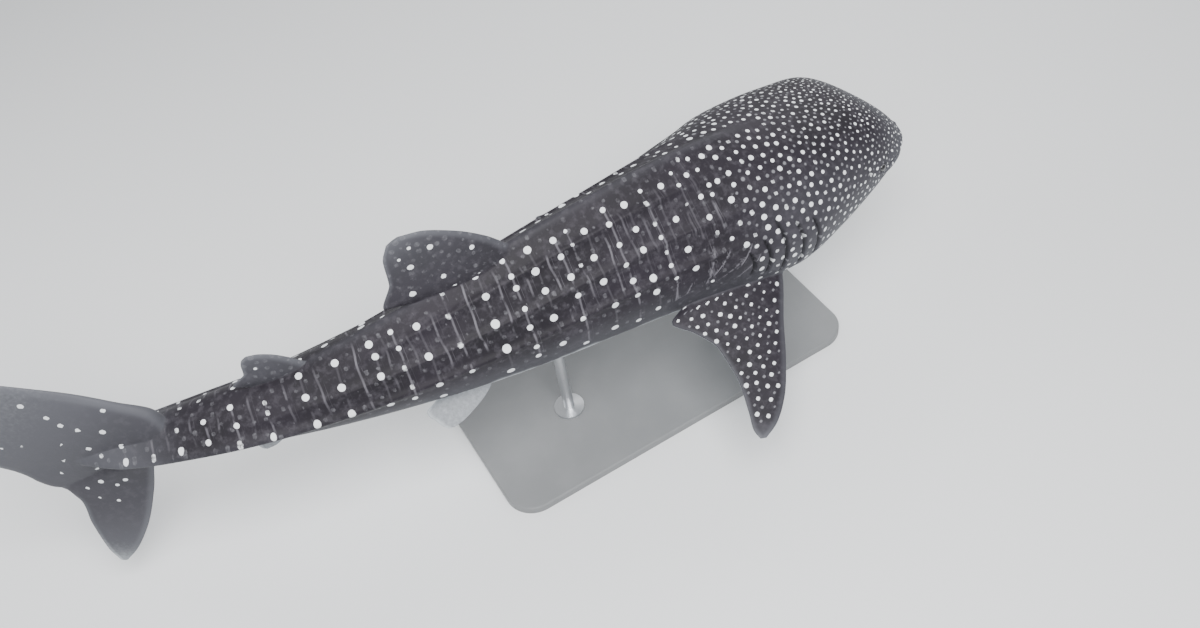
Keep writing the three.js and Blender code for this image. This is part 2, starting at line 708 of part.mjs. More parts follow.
// A rod with a flange at its foot and a pad at its head, turned round a vertical axis.
function standRod(station, envelope) {
  const foot = BASE.height + GAP;
  const { x, y } = bend([station, 0, 0]);
  const belly = AXIS_HEIGHT + curve(BOTTOM, station) * PERCENT;
  const { radius, flangeRadius, flangeHeight, chamfer, sides } = ROD;
  const profile = [
    [flangeRadius, foot],
    [flangeRadius, foot + flangeHeight],
    [radius, foot + flangeHeight + chamfer],
    [radius, belly - PAD.height],
    [PAD.radius, belly - PAD.height + PAD.taper],
    [PAD.radius, belly + PAD.above],
  ];
  const ringAt = ([r, z]) =>
    Array.from({ length: sides }, (_, k) => {
      const turn = (k / sides) * 2 * Math.PI;
      return new THREE.Vector3(x + r * Math.cos(turn), y + r * Math.sin(turn), z);
    });
  return largestPiece(loft(profile.map(ringAt)).subtract(envelope));
}

// A solid as a named mesh, without the slivers that cutting leaves.
function toMesh(name, solid, material) {
  const { numProp, numVert, vertProperties, triVerts } = solid.simplify(SLIVER).getMesh();
  const position = new Float32Array(numVert * 3);
  for (let i = 0; i < numVert; i += 1) {
    position.set(vertProperties.subarray(i * numProp, i * numProp + 3), i * 3);
  }
  const geometry = new THREE.BufferGeometry();
  geometry.setAttribute("position", new THREE.BufferAttribute(position, 3));
  geometry.setIndex(new THREE.BufferAttribute(triVerts, 1));
  geometry.computeVertexNormals();
  const mesh = new THREE.Mesh(geometry, material);
  mesh.name = name;
  return mesh;
}

function makeFins(envelope) {
  const leftPectoral = onSide(PECTORAL.root, 1, LEFT_PECTORAL_SWEEP);
  const solids = {
    first_dorsal_fin: fin(FIRST_DORSAL, onMidline),
    second_dorsal_fin: fin(SECOND_DORSAL, onMidline),
    anal_fin: fin(ANAL, onMidline),
    pectoral_fin_left: fin(PECTORAL, leftPectoral),
    pectoral_fin_right: fin(PECTORAL, onSide(PECTORAL.root, -1)),
    pelvic_fin_left: fin(PELVIC, onSide(PELVIC.root, 1)),
    pelvic_fin_right: fin(PELVIC, onSide(PELVIC.root, -1)),
    caudal_fin_upper: fin(CAUDAL_UPPER, onTailFin).intersect(lobeBlock(1)),
    caudal_fin_lower: fin(CAUDAL_LOWER, onTailFin).intersect(lobeBlock(-1)),
  };
  return Object.entries(solids).map(([name, solid]) =>
    toMesh(name, largestPiece(solid.subtract(envelope)), MATERIALS.skin),
  );
}

function makeBody() {
  const [headPart, ...others] = BODY_PARTS;
  const loftedHead = bodyPart(headPart);
  return [
    toMesh("head", makeHead(loftedHead), MATERIALS.skin),
    toMesh("lower_jaw", makeLowerJaw(loftedHead), MATERIALS.skin),
    toMesh("eye_left", eyeball(1), MATERIALS.eye),
    toMesh("eye_right", eyeball(-1), MATERIALS.eye),
    ...others.map((part) => toMesh(part.name, bodyPart(part), MATERIALS.skin)),
  ];
}

function makeStand(envelope) {
  const rods = Object.entries(ROD_STATIONS).map(([name, station]) =>
    toMesh(name, standRod(station, envelope), MATERIALS.rod),
  );
  return [toMesh("stand_base", roundedBase(), MATERIALS.base), ...rods];
}

const envelope = bodyEnvelope();
const group = new THREE.Group();
group.add(...makeBody(), ...makeFins(envelope), ...makeStand(envelope));

export default group;
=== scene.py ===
"""Looks of a life-size whale shark model on a plain display stand.

The animal is drawn straight and then bent, as its solids are. A point of the straight animal is
(station, side, height), each in percent of the total length: station runs back from the tip of
the snout, side is positive to the animal's left, and height is measured from its axis.
"""
import math

import bpy
import numpy as np
from mathutils import Matrix, Vector

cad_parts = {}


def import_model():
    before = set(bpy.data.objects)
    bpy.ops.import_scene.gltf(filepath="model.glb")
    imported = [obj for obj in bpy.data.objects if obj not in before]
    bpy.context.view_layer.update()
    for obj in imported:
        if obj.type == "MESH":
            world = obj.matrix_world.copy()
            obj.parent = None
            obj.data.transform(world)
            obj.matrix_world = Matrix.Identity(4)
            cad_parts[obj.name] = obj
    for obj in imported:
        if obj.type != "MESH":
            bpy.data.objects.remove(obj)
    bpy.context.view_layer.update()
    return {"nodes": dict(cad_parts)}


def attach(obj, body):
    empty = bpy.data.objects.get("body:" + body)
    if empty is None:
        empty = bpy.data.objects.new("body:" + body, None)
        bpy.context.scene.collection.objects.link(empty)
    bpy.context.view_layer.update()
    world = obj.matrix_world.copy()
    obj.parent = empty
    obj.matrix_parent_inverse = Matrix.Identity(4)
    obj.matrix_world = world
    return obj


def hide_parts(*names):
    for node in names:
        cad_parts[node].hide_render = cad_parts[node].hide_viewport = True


SEED = 11
# One percent of the total length in metres, and the height of the animal's axis above the floor.
PERCENT = 5.5 / 100
AXIS_HEIGHT = 1.06
# The point of the straight animal that comes to lie over the origin.
BALANCE_STATION = 31
BALANCE_SIDE = 1.0

# The bend of the body seen from above: thousandths of a radian for each percent of length.
BEND = [(0, 6.9), (25, 6.0), (45, 6.3), (60, 7.7), (80, 6.0), (105, 5.2)]
STRAIGHT_AHEAD = 35
SPINE_STEP = 0.05

# The body's outline, as (station, size) in percent.
HALF_WIDTH = [
    (0, 7.2), (3, 7.6), (7, 8.25), (12, 9.1), (17, 9.7), (22, 8.7), (30, 6.8), (40, 5.7),
    (50, 4.9), (60, 4.1), (68, 3.5), (75, 2.7), (80, 2.1), (86, 0.6),
]
TOP = [
    (0, 2.9), (4, 4.3), (10, 5.95), (16, 7.3), (22, 8.5), (30, 9.05), (38, 8.65), (46, 7.5),
    (54, 5.75), (62, 4.1), (70, 2.7), (76, 1.9), (80, 1.6), (86, 0.8),
]
BOTTOM = [
    (0, -3.4), (4, -4.7), (10, -6.1), (18, -7.2), (28, -7.4), (38, -7.2), (48, -6.1), (56, -4.8),
    (64, -3.55), (71, -2.35), (77, -1.6), (80, -1.45), (86, -0.6),
]
WIDEST_LEVEL = [(0, -0.6), (6, -0.9), (12, -0.6), (40, -0.4), (60, -0.2), (77, 0), (86, 0)]
FULLNESS_ABOVE = [(0, 2.6), (10, 2.25), (20, 1.7), (30, 1.5), (45, 1.45), (60, 1.55), (86, 1.9)]
FULLNESS_BELOW = [(0, 2.5), (10, 2.85), (20, 2.7), (40, 1.95), (60, 2.05), (77, 1.85), (86, 2)]
NOSE_WIDTH_LENGTH = 4.5
NOSE_WIDTH_POWER = 3.2
NOSE_HEIGHT_LENGTH = 6
NOSE_HEIGHT_POWER = 2.3
BODY_END = 85

# How finely the skin is drawn. Its rings crowd towards the tip of the nose, and the points of a
# ring crowd along the mouth: by how much more, how far above and below it, and where that fades.
NOSE_RINGS = 70
NOSE_CROWDING = 1.5
NOSE_GAP_STEPS = 3
STATION_STEP = 0.15
RING_POINTS = 440
SECTION_SAMPLES = 900
MOUTH_DETAIL = {"extra": 1.6, "height": 1.3, "fades": (6, 9)}
FIN_SPAN_STEPS = 90
FIN_CHORD_STEPS = 56
EYE_ROWS = 28
EYE_COLUMNS = 40

# The ridges of each flank: the angle round the section in degrees, and the lift in percent.
RIDGES = [
    {"angle": [(0, 12), (24, 19), (50, 12), (68, 0), (86, 0)],
     "lift": [(18, 0), (27, 0.3), (60, 0.4), (73, 0.8), (81, 0.6), (85, 0)], "width": 0.55},
    {"angle": [(0, 34), (24, 38), (60, 32), (86, 30)],
     "lift": [(20, 0), (28, 0.38), (58, 0.32), (70, 0)], "width": 0.5},
    {"angle": [(0, 58), (24, 61), (60, 56), (86, 55)],
     "lift": [(22, 0), (30, 0.32), (50, 0.3), (62, 0)], "width": 0.5},
]
BACK_RIDGE = {"lift": [(18, 0), (26, 0.3), (42, 0.3), (56, 0.15), (64, 0)], "width": 0.6}
RIDGE_FALLOFF = 1.6

# The relief of the head, in percent. A form is a rounded ridge or groove: how far it lies from the
# line of the mouth or from the middle of a hole, how high it rises, and its width. A hole is its
# depth, where its floor ends and where its edge lies.
MOUTH = {
    "forms": [(0.62, 0.26, 0.42), (-0.55, 0.2, 0.36), (0, -0.42, 0.13), (1.35, -0.12, 0.16)],
    # The dark width and dark ends give the painted shade along the line of the mouth.
    "ends": (4.5, 5.4), "painted_shade_width": 0.1, "painted_shade_ends": (4.2, 5.0),
}
NOSTRIL = {"turn": 37, "above": 1.3, "slant": (0.8, 0.6), "depth": 0.5, "size": (0.5, 0.2), "reach": 2}
BARBEL = {"aside": 0.3, "below": 0.7, "lift": 0.14, "size": (0.22, 0.36)}
EYE = {
    "station": 5.9, "height": -0.3, "radius": 0.45, "sunk": 0.12,
    "forms": [(0.62, 0.17, 0.15), (1.0, 0.1, 0.25), (1.35, -0.06, 0.15)], "hole": (0.5, 0.3, 0.52),
}
SPIRACLE = {"station": 8.0, "height": 0.5, "forms": [(0.42, 0.06, 0.12)], "hole": (0.35, 0.1, 0.28)}
FACE_END = 14
# The gill slits: station, lower end and upper end. A raised flap of skin lies ahead of each.
GILL_SLITS = [(16.1, -3.4, 1.6), (17.9, -3.7, 2.1), (19.7, -3.7, 2.9), (21.3, -3.2, 1.6), (22.9, -2.6, 0.8)]
GILL = {
    "bow": 0.45, "fade": 0.5, "beyond": 0.15, "least_side": 1, "set_back": 0.06,
    # The dark width is that of the painted shade inside each slit.
    "depth": 0.5, "width": 0.1, "painted_shade_width": 0.13,
    "flap_lift": 0.2, "flap_ahead": 0.55, "flap_behind": 0.1, "flap_starts": (-1.6, -1.0),
}

# The fins: each edge is a list of (share of the span, station, reach), in percent, and the root is
# the share of the span where the fin widens into the body.
FIN_EDGE = 0.05
FIN_FLARE = {"extra": 0.5, "reach": 1.3}
FOIL_SCALE = 1.98
FOIL_REAR_POWER = 0.9
FINS = {
    "first_dorsal_fin": {
        "leading": [(0, 42.4, 7.2), (0.2, 45, 10.25), (0.45, 47.6, 12.3), (0.75, 50.4, 13.7), (1, 52, 13.95)],
        "trailing": [(0, 50.2, 5.6), (0.14, 55.4, 6.7), (0.35, 54.2, 9.2), (0.75, 54, 11.9), (1, 53.3, 13.5)],
        "thickness": [(0, 1.5), (0.5, 0.8), (1, 0.3)],
        "root": 0.2,
    },
    "second_dorsal_fin": {
        "leading": [(0, 62.8, 3.2), (0.25, 64.4, 5), (0.5, 65.7, 6.1), (0.8, 66.9, 6.65), (1, 67.6, 6.75)],
        "trailing": [(0, 66.3, 2.2), (0.16, 69.9, 3.6), (0.4, 68.6, 4.7), (0.75, 68.4, 5.9), (1, 68.2, 6.4)],
        "thickness": [(0, 0.7), (0.5, 0.4), (1, 0.2)],
        "root": 0.25,
    },
    "anal_fin": {
        "leading": [
            (0, 65.8, -2.2), (0.25, 67.1, -3.9), (0.5, 68.3, -5.1), (0.8, 69.5, -5.8), (1, 70.1, -5.9),
        ],
        "trailing": [(0, 69, -1.4), (0.16, 72.3, -3), (0.4, 71.1, -3.9), (0.75, 70.8, -5.1), (1, 70.6, -5.6)],
        "thickness": [(0, 0.7), (0.5, 0.4), (1, 0.2)],
        "root": 0.25,
    },
    "pectoral_fin": {
        "leading": [
            (0, 18.2, 0.6), (0.16, 20, 3.4), (0.34, 22.2, 6.3), (0.55, 24.5, 9.8), (0.75, 26.8, 12.8),
            (0.9, 28.9, 14.5), (1, 30.2, 15),
        ],
        "trailing": [
            (0, 26.4, -0.6), (0.1, 31.7, 0.9), (0.22, 30.2, 3.1), (0.38, 29.2, 5.6), (0.55, 29.3, 8.4),
            (0.78, 30.2, 12), (0.92, 30.8, 14), (1, 30.7, 14.8),
        ],
        "thickness": [(0, 1.6), (0.3, 1.1), (0.7, 0.6), (1, 0.25)],
        "root": 0.12,
    },
    "pelvic_fin": {
        "leading": [(0, 47.3, -0.9), (0.3, 49.3, 1.2), (0.6, 51.2, 2.3), (0.85, 52.6, 2.9), (1, 53.4, 3.1)],
        "trailing": [(0, 51.8, -1.1), (0.2, 55.3, 0.9), (0.5, 54.8, 1.9), (0.8, 54.4, 2.6), (1, 54, 3)],
        "thickness": [(0, 0.9), (0.5, 0.5), (1, 0.2)],
        "root": 0.3,
    },
    "caudal_fin_upper": {
        "leading": [
            (0, 76.4, 1), (0.08, 76.9, 3.2), (0.2, 79.3, 5.7), (0.35, 82, 8.1), (0.5, 85.1, 10.2),
            (0.7, 89.6, 12.9), (0.88, 94, 15.6), (1, 96.9, 17.4),
        ],
        "trailing": [
            (0, 79.5, -0.9), (0.1, 84, -2.3), (0.2, 88.3, -3.5), (0.3, 90.3, -0.7), (0.45, 92.7, 2.2),
            (0.65, 94.9, 7.5), (0.82, 96.5, 12.6), (0.92, 97.5, 15), (1, 97.6, 16.9),
        ],
        "thickness": [(0, 2.4), (0.2, 2.2), (0.5, 1.1), (1, 0.3)],
        "root": 0.1,
    },
    "caudal_fin_lower": {
        "leading": [
            (0, 77.6, -0.9), (0.14, 79.3, -2.5), (0.35, 81, -6.2), (0.6, 83.2, -10.3), (0.85, 85.8, -13.7),
            (1, 87.1, -14.8),
        ],
        "trailing": [
            (0, 79.5, -0.2), (0.12, 84, -1.6), (0.25, 88.2, -2.9), (0.4, 87.4, -5.6), (0.6, 87.9, -8.8),
            (0.85, 88.1, -12.6), (1, 87.8, -14.6),
        ],
        "thickness": [(0, 1.9), (0.3, 1.1), (0.7, 0.6), (1, 0.3)],
        "root": 0.12,
    },
}
# Where the paired fins leave the body, with their droop and the left one's sweep in degrees.
PAIRED_ROOTS = {
    "pectoral_fin": {"side": 6.0, "height": -3.9, "droop": 24, "left_sweep": 8},
    "pelvic_fin": {"side": 2.5, "height": -4.5, "droop": 40, "left_sweep": 0},
}
LOWER_LOBE = {"lean": 0.12, "starts": (76, 84)}
SKIN_NODES = [
    "head", "lower_jaw", "trunk_front", "trunk_mid", "trunk_rear", "tail_front", "tail_stock",
    "first_dorsal_fin", "second_dorsal_fin", "anal_fin", "pectoral_fin_left", "pectoral_fin_right",
    "pelvic_fin_left", "pelvic_fin_right", "caudal_fin_upper", "caudal_fin_lower",
]

# The looks that each point of the skin carries, one number each. The last is painted shade, a dark colour
# laid in the gill slits and along the line of the mouth.
LOOKS = ("spots", "faint", "bar_offset", "bars", "belly", "tone", "dark")

# Markings, in percent. A depth runs down the flank from the midline of the back. A spot whose peak
# is under 1 stays weaker than the others at its middle too, and small spots do so more often.
SPOT_SOFT = 0.3
SCATTER_TRIES = 60000
SMUDGE_SPACING = 1.05
SMUDGE_RADII = (0.06, 0.24)
SMUDGE_PEAK = 0.452
SMUDGE_ABOVE_BELLY = 1
DULL_PEAK = 0.487
DULL_SHARE = [(0.15, 0.45), (0.25, 0.3), (0.3, 0)]
NONE_TAKEN = np.zeros((0, 3))
# How a column or bar strays on its way down: size, pace, and how much of its own start it takes.
WANDER = [(0.1, 0.7, 1), (0.05, 1.9, 1.7)]
COLUMN_STRAY = 0.5
COLUMN_PHASE = 1.3
TRUNK_SIZES = (0.9, 1.12)
RIGHT_SHIFT = 0.08
LEFT_SHIFT = {"station": 0.3, "depth": 0.25}
# The columns of spots along the flank: station, radius of the spots, and the depths they lie at.
SPOT_COLUMNS = [
    (23.2, 0.28, (1.4, 4.2, 6.3, 8.7, 10.9)),
    (24.4, 0.20, (1.0, 2.4, 4.1, 5.1, 9.7)),
    (25.6, 0.24, (0.7, 2.4, 4.8, 6.8, 8.5)),
    (26.9, 0.18, (1.6, 2.9, 4.8, 13.2)),
    (28.4, 0.31, (2.2, 5.5, 8.6, 10.7)),
    (30.4, 0.22, (1.7, 2.9, 4.9, 6.3, 7.9, 9.3, 10.7)),
    (32.3, 0.30, (2.1, 4.5, 6.5, 9.4, 11.1, 13.4)),
    (34.3, 0.26, (1.5, 2.9, 5.0, 6.9, 8.7, 10.2, 13.9)),
    (36.6, 0.32, (2.3, 4.9, 7.3, 10.0, 13.1)),
    (38.1, 0.18, (1.5, 2.9, 4.9)),
    (39.4, 0.28, (1.7, 3.3, 5.4, 7.3, 9.5, 13.4)),
    (41.9, 0.34, (1.3, 3.3, 5.3, 8.0, 11.3)),
    (44.2, 0.25, (1.0, 2.5, 3.7, 5.7, 7.6, 9.8, 11.2)),
    (46.9, 0.35, (0.8, 2.9, 5.5, 8.1, 11.4)),
    (50.3, 0.27, (0.6, 2.7, 5.4, 8.3)),
    (53.2, 0.33, (2.0, 4.8, 7.8, 10.2)),
    (55.5, 0.24, (1.3, 2.9, 4.7, 6.6, 8.1)),
    (57.6, 0.31, (1.3, 2.5, 4.3, 7.3)),
    (61.0, 0.31, (1.4, 3.6, 6.1)),
    (64.2, 0.30, (1.0, 3.0, 5.5)),
    (67.7, 0.23, (1.9, 2.8, 4.8)),
    (70.7, 0.27, (1.1, 2.8, 4.3)),
    (73.2, 0.23, (1.4, 3.2)),
    (75.6, 0.24, (1.3, 3.0)),
    (78.0, 0.21, (1.1, 2.8)),
    (80.4, 0.22, (1.1, 2.4)),
    (82.6, 0.19, (1.3,)),
]
# The thin pale bars between the columns: station, first and last depth, and strength.
PALE_BARS = [
    (24.9, 5.5, 8.6, 0.8), (27.4, 5.4, 8.0, 0.5), (29.3, 2.0, 8.0, 0.3), (31.3, 3.8, 7.5, 0.45),
    (33.2, 2.2, 8.0, 0.45), (35.3, 3.2, 9.6, 0.9), (38.0, 5.4, 9.2, 0.7), (40.6, 2.6, 9.2, 0.9),
    (43.1, 2.2, 6.6, 0.6), (45.6, 1.3, 7.6, 0.8), (48.5, 0.6, 7.4, 1.0), (51.8, 1.8, 7.0, 0.7),
    (54.4, 1.6, 6.0, 0.35), (56.6, 1.4, 6.4, 0.4), (59.2, 0.6, 7.0, 0.9), (62.8, 1.0, 5.4, 0.6),
    (65.9, 1.0, 4.6, 0.55), (69.2, 0.8, 4.0, 0.5), (72.0, 0.7, 3.4, 0.55), (74.4, 0.6, 3.2, 0.45),
    (76.8, 0.6, 2.8, 0.4),
]
# A bar fades in at its top and out at its foot, and sideways over the last part of its reach.
BAR_TOP = (0.3, 0.5)
BAR_FOOT = (0.8, 0.3)
BAR_REACH = 0.42
BAR_FADES = 0.7
BAR_UNEVEN = {"phase": 1.7, "size": 0.25, "pace": 2.3, "turn": 2.9}
# The faint bars that run through the columns: their strength where the spots are small or large.
COLUMN_BAR = {"small_spots": 0.64, "large_spots": 0.2, "large_from": 0.29, "starts": (22, 32)}
# Pale streaks that bend back towards the root of the pectoral fin: station and depth of both ends.
STREAKS = [
    (26.2, 8.8, 28.0, 13.9), (25.0, 10.4, 26.9, 12.6), (24.1, 12.2, 26.2, 13.4), (30.4, 10.9, 30.7, 13.6),
    (23.0, 11.0, 24.4, 13.0), (22.4, 12.6, 24.6, 14.3), (28.9, 11.6, 29.6, 13.4),
]
STREAK = {"bow": 1.5, "edge": 0.2, "pushed": 2, "extra": 0.4}
# Where the flank pales, and where the belly begins.
BELLY_DEPTH = [
    (0, 10.8), (6, 12.8), (12, 15.8), (18, 17.4), (24, 16.8), (32, 15.8), (40, 14.2), (46, 12.7),
    (52, 11.2), (58, 9.4), (64, 7.5), (70, 5.7), (76, 4.3), (85, 3.0),
]
BELLY_EDGE = (0.6, 2.6)
BELLY_RUFFLE = [(0.3, 0.83, 0), (0.1, 2.1, 1), (0.08, 3.9, 2)]
# Where the skin is greyer: how much, and the stations or depths over which that starts or ends.
# The flank's is given by the share of the way down to the belly.
GREY_SNOUT = {"share": 0.62, "ends": (0.5, 6)}
GREY_BACK = {"share": 0.2, "width": 0.5, "starts": (14, 22), "ends": (60, 68)}
GREY_FLANK = {"share": 0.45, "starts": (0.68, 1.0)}
GREY_GILLS = {"share": 0.25, "ends": (16, 26), "starts": (5, 11)}
GREY_TAIL = {"share": 0.65, "starts": (74, 82)}
# The scattered spots of the head: spacing by station, and each radius as a share of the spacing.
HEAD_END = 22.6
HEAD_SPACING = [(0, 0.42), (4, 0.52), (8, 0.72), (13, 0.9), (18, 1.0), (24, 1.15)]
HEAD_BELLY_MARGIN = 0.6
PLAIN_RIDGE = {"depth": 0.75, "from": 15}
BRIGHT_SHARE = 0.215
BRIGHT_SIZES = (0.85, 1.2)
DIM_SHARE = 0.16
DIM_SIZES = (0.7, 1.2)
DIM_SPACING = 0.72
# The fins. A pectoral fin keeps its edges clear of spots, and a rim is given by where it fades.
FIN_CLEAR = {"front": 0.75, "rear": 0.4}
FIN_BRIGHT_SIZES = (0.72, 1.15)
FIN_DIM_SIZES = (0.5, 0.75)
FIN_UNDERSIDE = 0.85
FIN_RIM = {"front": (0.2, 0.8), "rear": (0.1, 0.5), "grey": 0.4, "pale": 0.15}
# For each fin: whether both faces are marked, the spacing of its smudges (0 for none), how grey and
# how pale it is along the span, and its spots as (station, reach, radius). The pectoral fin's spots
# are scattered instead, up to the last share of its span.
PLAIN_FIN = {"both_faces": True, "smudges": 0, "belly": [(0, 0), (1, 0)], "spots": []}
FIN_MARKS = {
    "first_dorsal_fin": {
        **PLAIN_FIN, "smudges": 0.7, "tone": [(0, 0.1), (0.5, 0.3), (1, 0.8)],
        "spots": [
            (46.5, 10.1, 0.22), (49.9, 11.9, 0.26), (49.6, 8.4, 0.24), (46.4, 6.9, 0.3), (48.8, 6.8, 0.2),
            (52.0, 10.5, 0.28), (51.6, 12.6, 0.17), (52.6, 7.6, 0.3), (52.7, 11.7, 0.15), (43.6, 7.4, 0.22),
        ],
    },
    "second_dorsal_fin": {
        **PLAIN_FIN, "smudges": 0.7, "tone": [(0, 0.3), (0.5, 0.5), (1, 0.8)],
        "spots": [(67.4, 5.2, 0.14)],
    },
    "anal_fin": {
        **PLAIN_FIN, "tone": [(0, 0.6), (1, 1)], "belly": [(0, 0.35), (1, 0.35)],
        "spots": [(68.6, -3.4, 0.14)],
    },
    "pectoral_fin": {
        **PLAIN_FIN, "both_faces": False, "tone": [(0, 0), (0.8, 0.04), (1, 0.6)],
        "spacing": 0.95, "radius": 0.2, "last": 0.87,
    },
    "pelvic_fin": {
        **PLAIN_FIN, "both_faces": False, "smudges": 0.8,
        "tone": [(0, 0.8), (1, 1)], "belly": [(0, 0.4), (1, 0.4)],
    },
    "caudal_fin_upper": {
        **PLAIN_FIN, "tone": [(0, 0.3), (0.12, 0.42), (0.4, 0.8), (1, 1)],
        "belly": [(0, 0), (0.12, 0), (0.5, 0.18), (1, 0.36)],
        "spots": [
            (81.3, 3.5, 0.26), (83.0, 4.4, 0.24), (84.0, 5.4, 0.24), (84.6, 6.6, 0.22), (85.8, 8.5, 0.26),
            (87.4, 10.2, 0.24), (89.3, 11.7, 0.22), (91.6, 13.4, 0.2), (80.3, 5.7, 0.2), (83.3, 1.8, 0.24),
            (80.6, 1.4, 0.22), (78.4, 0.9, 0.22), (86.0, 0.8, 0.22), (87.0, -1.0, 0.2), (84.0, -1.3, 0.22),
            (88.2, 3.6, 0.18), (85.1, 3.0, 0.17), (89.9, 3.8, 0.18), (88.6, 7.0, 0.18), (80.2, -0.2, 0.26),
        ],
    },
    "caudal_fin_lower": {
        **PLAIN_FIN, "tone": [(0, 0.32), (0.35, 0.34), (0.75, 0.7), (1, 1)],
        "belly": [(0, 0), (0.6, 0.03), (1, 0.4)],
        "spots": [
            (84.5, -3.1, 0.24), (82.5, -3.6, 0.22), (81.0, -2.1, 0.22), (83.4, -4.0, 0.18),
            (86.0, -3.7, 0.18), (84.2, -6.1, 0.17), (85.6, -5.3, 0.14), (79.0, -1.8, 0.2),
        ],
    },
}

# How the fins are blended into the body.
SEAM_PASSES = 3
FILLET_RINGS = 7
FILLET_PASSES = 12
FILLET_PULL = 0.6

# Colours.
GROUND = (0.0165, 0.0132, 0.0195)
GROUND_DEEP = (0.0095, 0.0078, 0.0115)
MOTTLE = (0.060, 0.055, 0.066)
GREY = (0.098, 0.100, 0.114)
DIM_SPOT = (0.225, 0.225, 0.245)
BAR = (0.130, 0.124, 0.142)
WHITE = (0.80, 0.82, 0.84)
BELLY = (0.62, 0.66, 0.69)
# Painted shade, laid in the gill slits and along the line of the mouth.
SLIT_SHADE = (0.008, 0.008, 0.010)
PUPIL = (0.004, 0.004, 0.005)
IRIS = (0.10, 0.10, 0.11)
IRIS_FLECK = (0.21, 0.21, 0.22)
IRIS_RIM = (0.05, 0.05, 0.055)
PAINT = (0.185, 0.19, 0.195)
PAINT_WORN = (0.20, 0.205, 0.21)
STEEL = (0.55, 0.56, 0.58)
STEEL_PALE = (0.66, 0.67, 0.69)
FLOOR = (0.78, 0.79, 0.80)
SKY = (0.96, 0.98, 1.0)

# Finishes. A noise is its scale, detail and roughness, an edge is the two values that a pattern
# runs between, a pair for the roughness is its least value and its range, and a relief is its
# depth in metres and its strength.
SKIN_FINISH = {
    "clouds": (2.2, 4.0, 0.55), "cloud_edge": (0.35, 0.7),
    "patches": (26, 5.0, 0.6), "patch_edge": (0.44, 0.72), "patch_share": 0.5,
    "wobble": (60, 2.0, 0.55), "spot_wobble": 0.14, "bar_wobble": 0.4, "belly_wobble": 1.4,
    "bar_edge": (0.034, 0.1445), "breaks": (11, 3.0, 0.55), "break_edge": (0.34, 0.5),
    "faint_edge": (0.40, 0.56), "faint_share": 0.7, "belly_edge": (0.1, 0.9),
    "spot_edge": (0.44, 0.52), "spot_share": 0.97,
    "roughness": (0.5, 0.2), "specular": 0.24,
    "grain": (170, 3.0, 0.6), "grain_share": 0.5, "patch_relief": 1.2, "relief": (0.0016, 0.55),
}
EYE_FINISH = {
    "roughness": 0.08, "flecks": (420, 2.0, 0.55), "fleck_edge": (0.35, 0.65),
    "rim_edge": (0.60, 0.68), "pupil_edge": (0.30, 0.35),
}
PAINT_FINISH = {
    "grain": (900, 2.0, 0.55), "wear": (5, 4.0, 0.55), "wear_edge": (0.35, 0.75),
    "roughness": (0.45, 0.1), "relief": (0.0004, 0.4),
}
STEEL_FINISH = {
    "brush": (1.0, 2.0, 0.5), "stretch": (30, 30, 900), "roughness": (0.22, 0.2), "relief": (0.0003, 0.3),
}
FLOOR_ROUGHNESS = 0.85

# The stage. A light is its place, the side of its square and its power.
FLOOR_SIZE = 60
SKY_STRENGTH = 0.62
LIGHT_TARGET = (0, 0, 1)
LIGHTS = {
    "key": {"place": (-1.5, -4.0, 7.5), "size": 5, "power": 1150},
    "fill": {"place": (5.5, 4.5, 6.0), "size": 5, "power": 260},
    "rim": {"place": (-6.5, 3.5, 5.0), "size": 4, "power": 200},
}

# The camera, as it stood over the animal: angles in degrees, lengths in percent of the animal's own.
CAMERA = {
    "azimuth": -23.69, "elevation": 48.94, "roll": -9.73, "distance": 90,
    "target": (-40.19, -10.32, 6.45), "focal_px": 1064.0,
}
PHOTO_WIDTH = 1200
SENSOR_MM = 36.0
CLIP_END = 200


# Curves and the bend of the body.

def curve(knots, place):
    """A smooth curve through (place, value) knots that never overshoots them."""
    x, v = (np.array(column, float) for column in zip(*knots))
    step = np.diff(x)
    slope = np.diff(v) / step
    tangent = np.zeros(len(x))
    for i in range(1, len(x) - 1):
        if slope[i - 1] * slope[i] > 0:
            before = 2 * step[i] + step[i - 1]
            after = step[i] + 2 * step[i - 1]
            tangent[i] = (before + after) / (before / slope[i - 1] + after / slope[i])
    tangent[0] = slope[0]
    tangent[-1] = slope[-1]
    at = np.clip(np.asarray(place, float), x[0], x[-1])
    i = np.clip(np.searchsorted(x, at, side="right") - 1, 0, len(x) - 2)
    t = (at - x[i]) / step[i]
    start = (2 * t**3 - 3 * t**2 + 1) * v[i] + (t**3 - 2 * t**2 + t) * step[i] * tangent[i]
    end = (3 * t**2 - 2 * t**3) * v[i + 1] + (t**3 - t**2) * step[i] * tangent[i + 1]
    return start + end


def smooth(low, high, value):
    t = np.clip((np.asarray(value, float) - low) / (high - low), 0, 1)
    return t * t * (3 - 2 * t)


def bump(distance, width):
    return np.exp(-((distance / width) ** 2))


def trace_spine():
    """The spine seen from above: station, x, y and heading, straight ahead at one station."""
    station = np.arange(0, BEND[-1][0] + SPINE_STEP / 2, SPINE_STEP)
    rate = curve(BEND, station) / 1000
    heading = -np.concatenate([[0], np.cumsum((rate[1:] + rate[:-1]) / 2 * np.diff(station))])
    heading -= np.interp(STRAIGHT_AHEAD, station, heading)
    middle = (heading[1:] + heading[:-1]) / 2
    x = np.concatenate([[0], np.cumsum(-np.cos(middle) * np.diff(station))])
    y = np.concatenate([[0], np.cumsum(-np.sin(middle) * np.diff(station))])
    return station, x, y, heading


SPINE = trace_spine()


def bend_flat(station, side):
    at, x, y, heading = SPINE
    turn = np.interp(station, at, heading)
    return (
        np.interp(station, at, x) - side * np.sin(turn),
        np.interp(station, at, y) + side * np.cos(turn),
    )


CENTRE = bend_flat(BALANCE_STATION, BALANCE_SIDE)


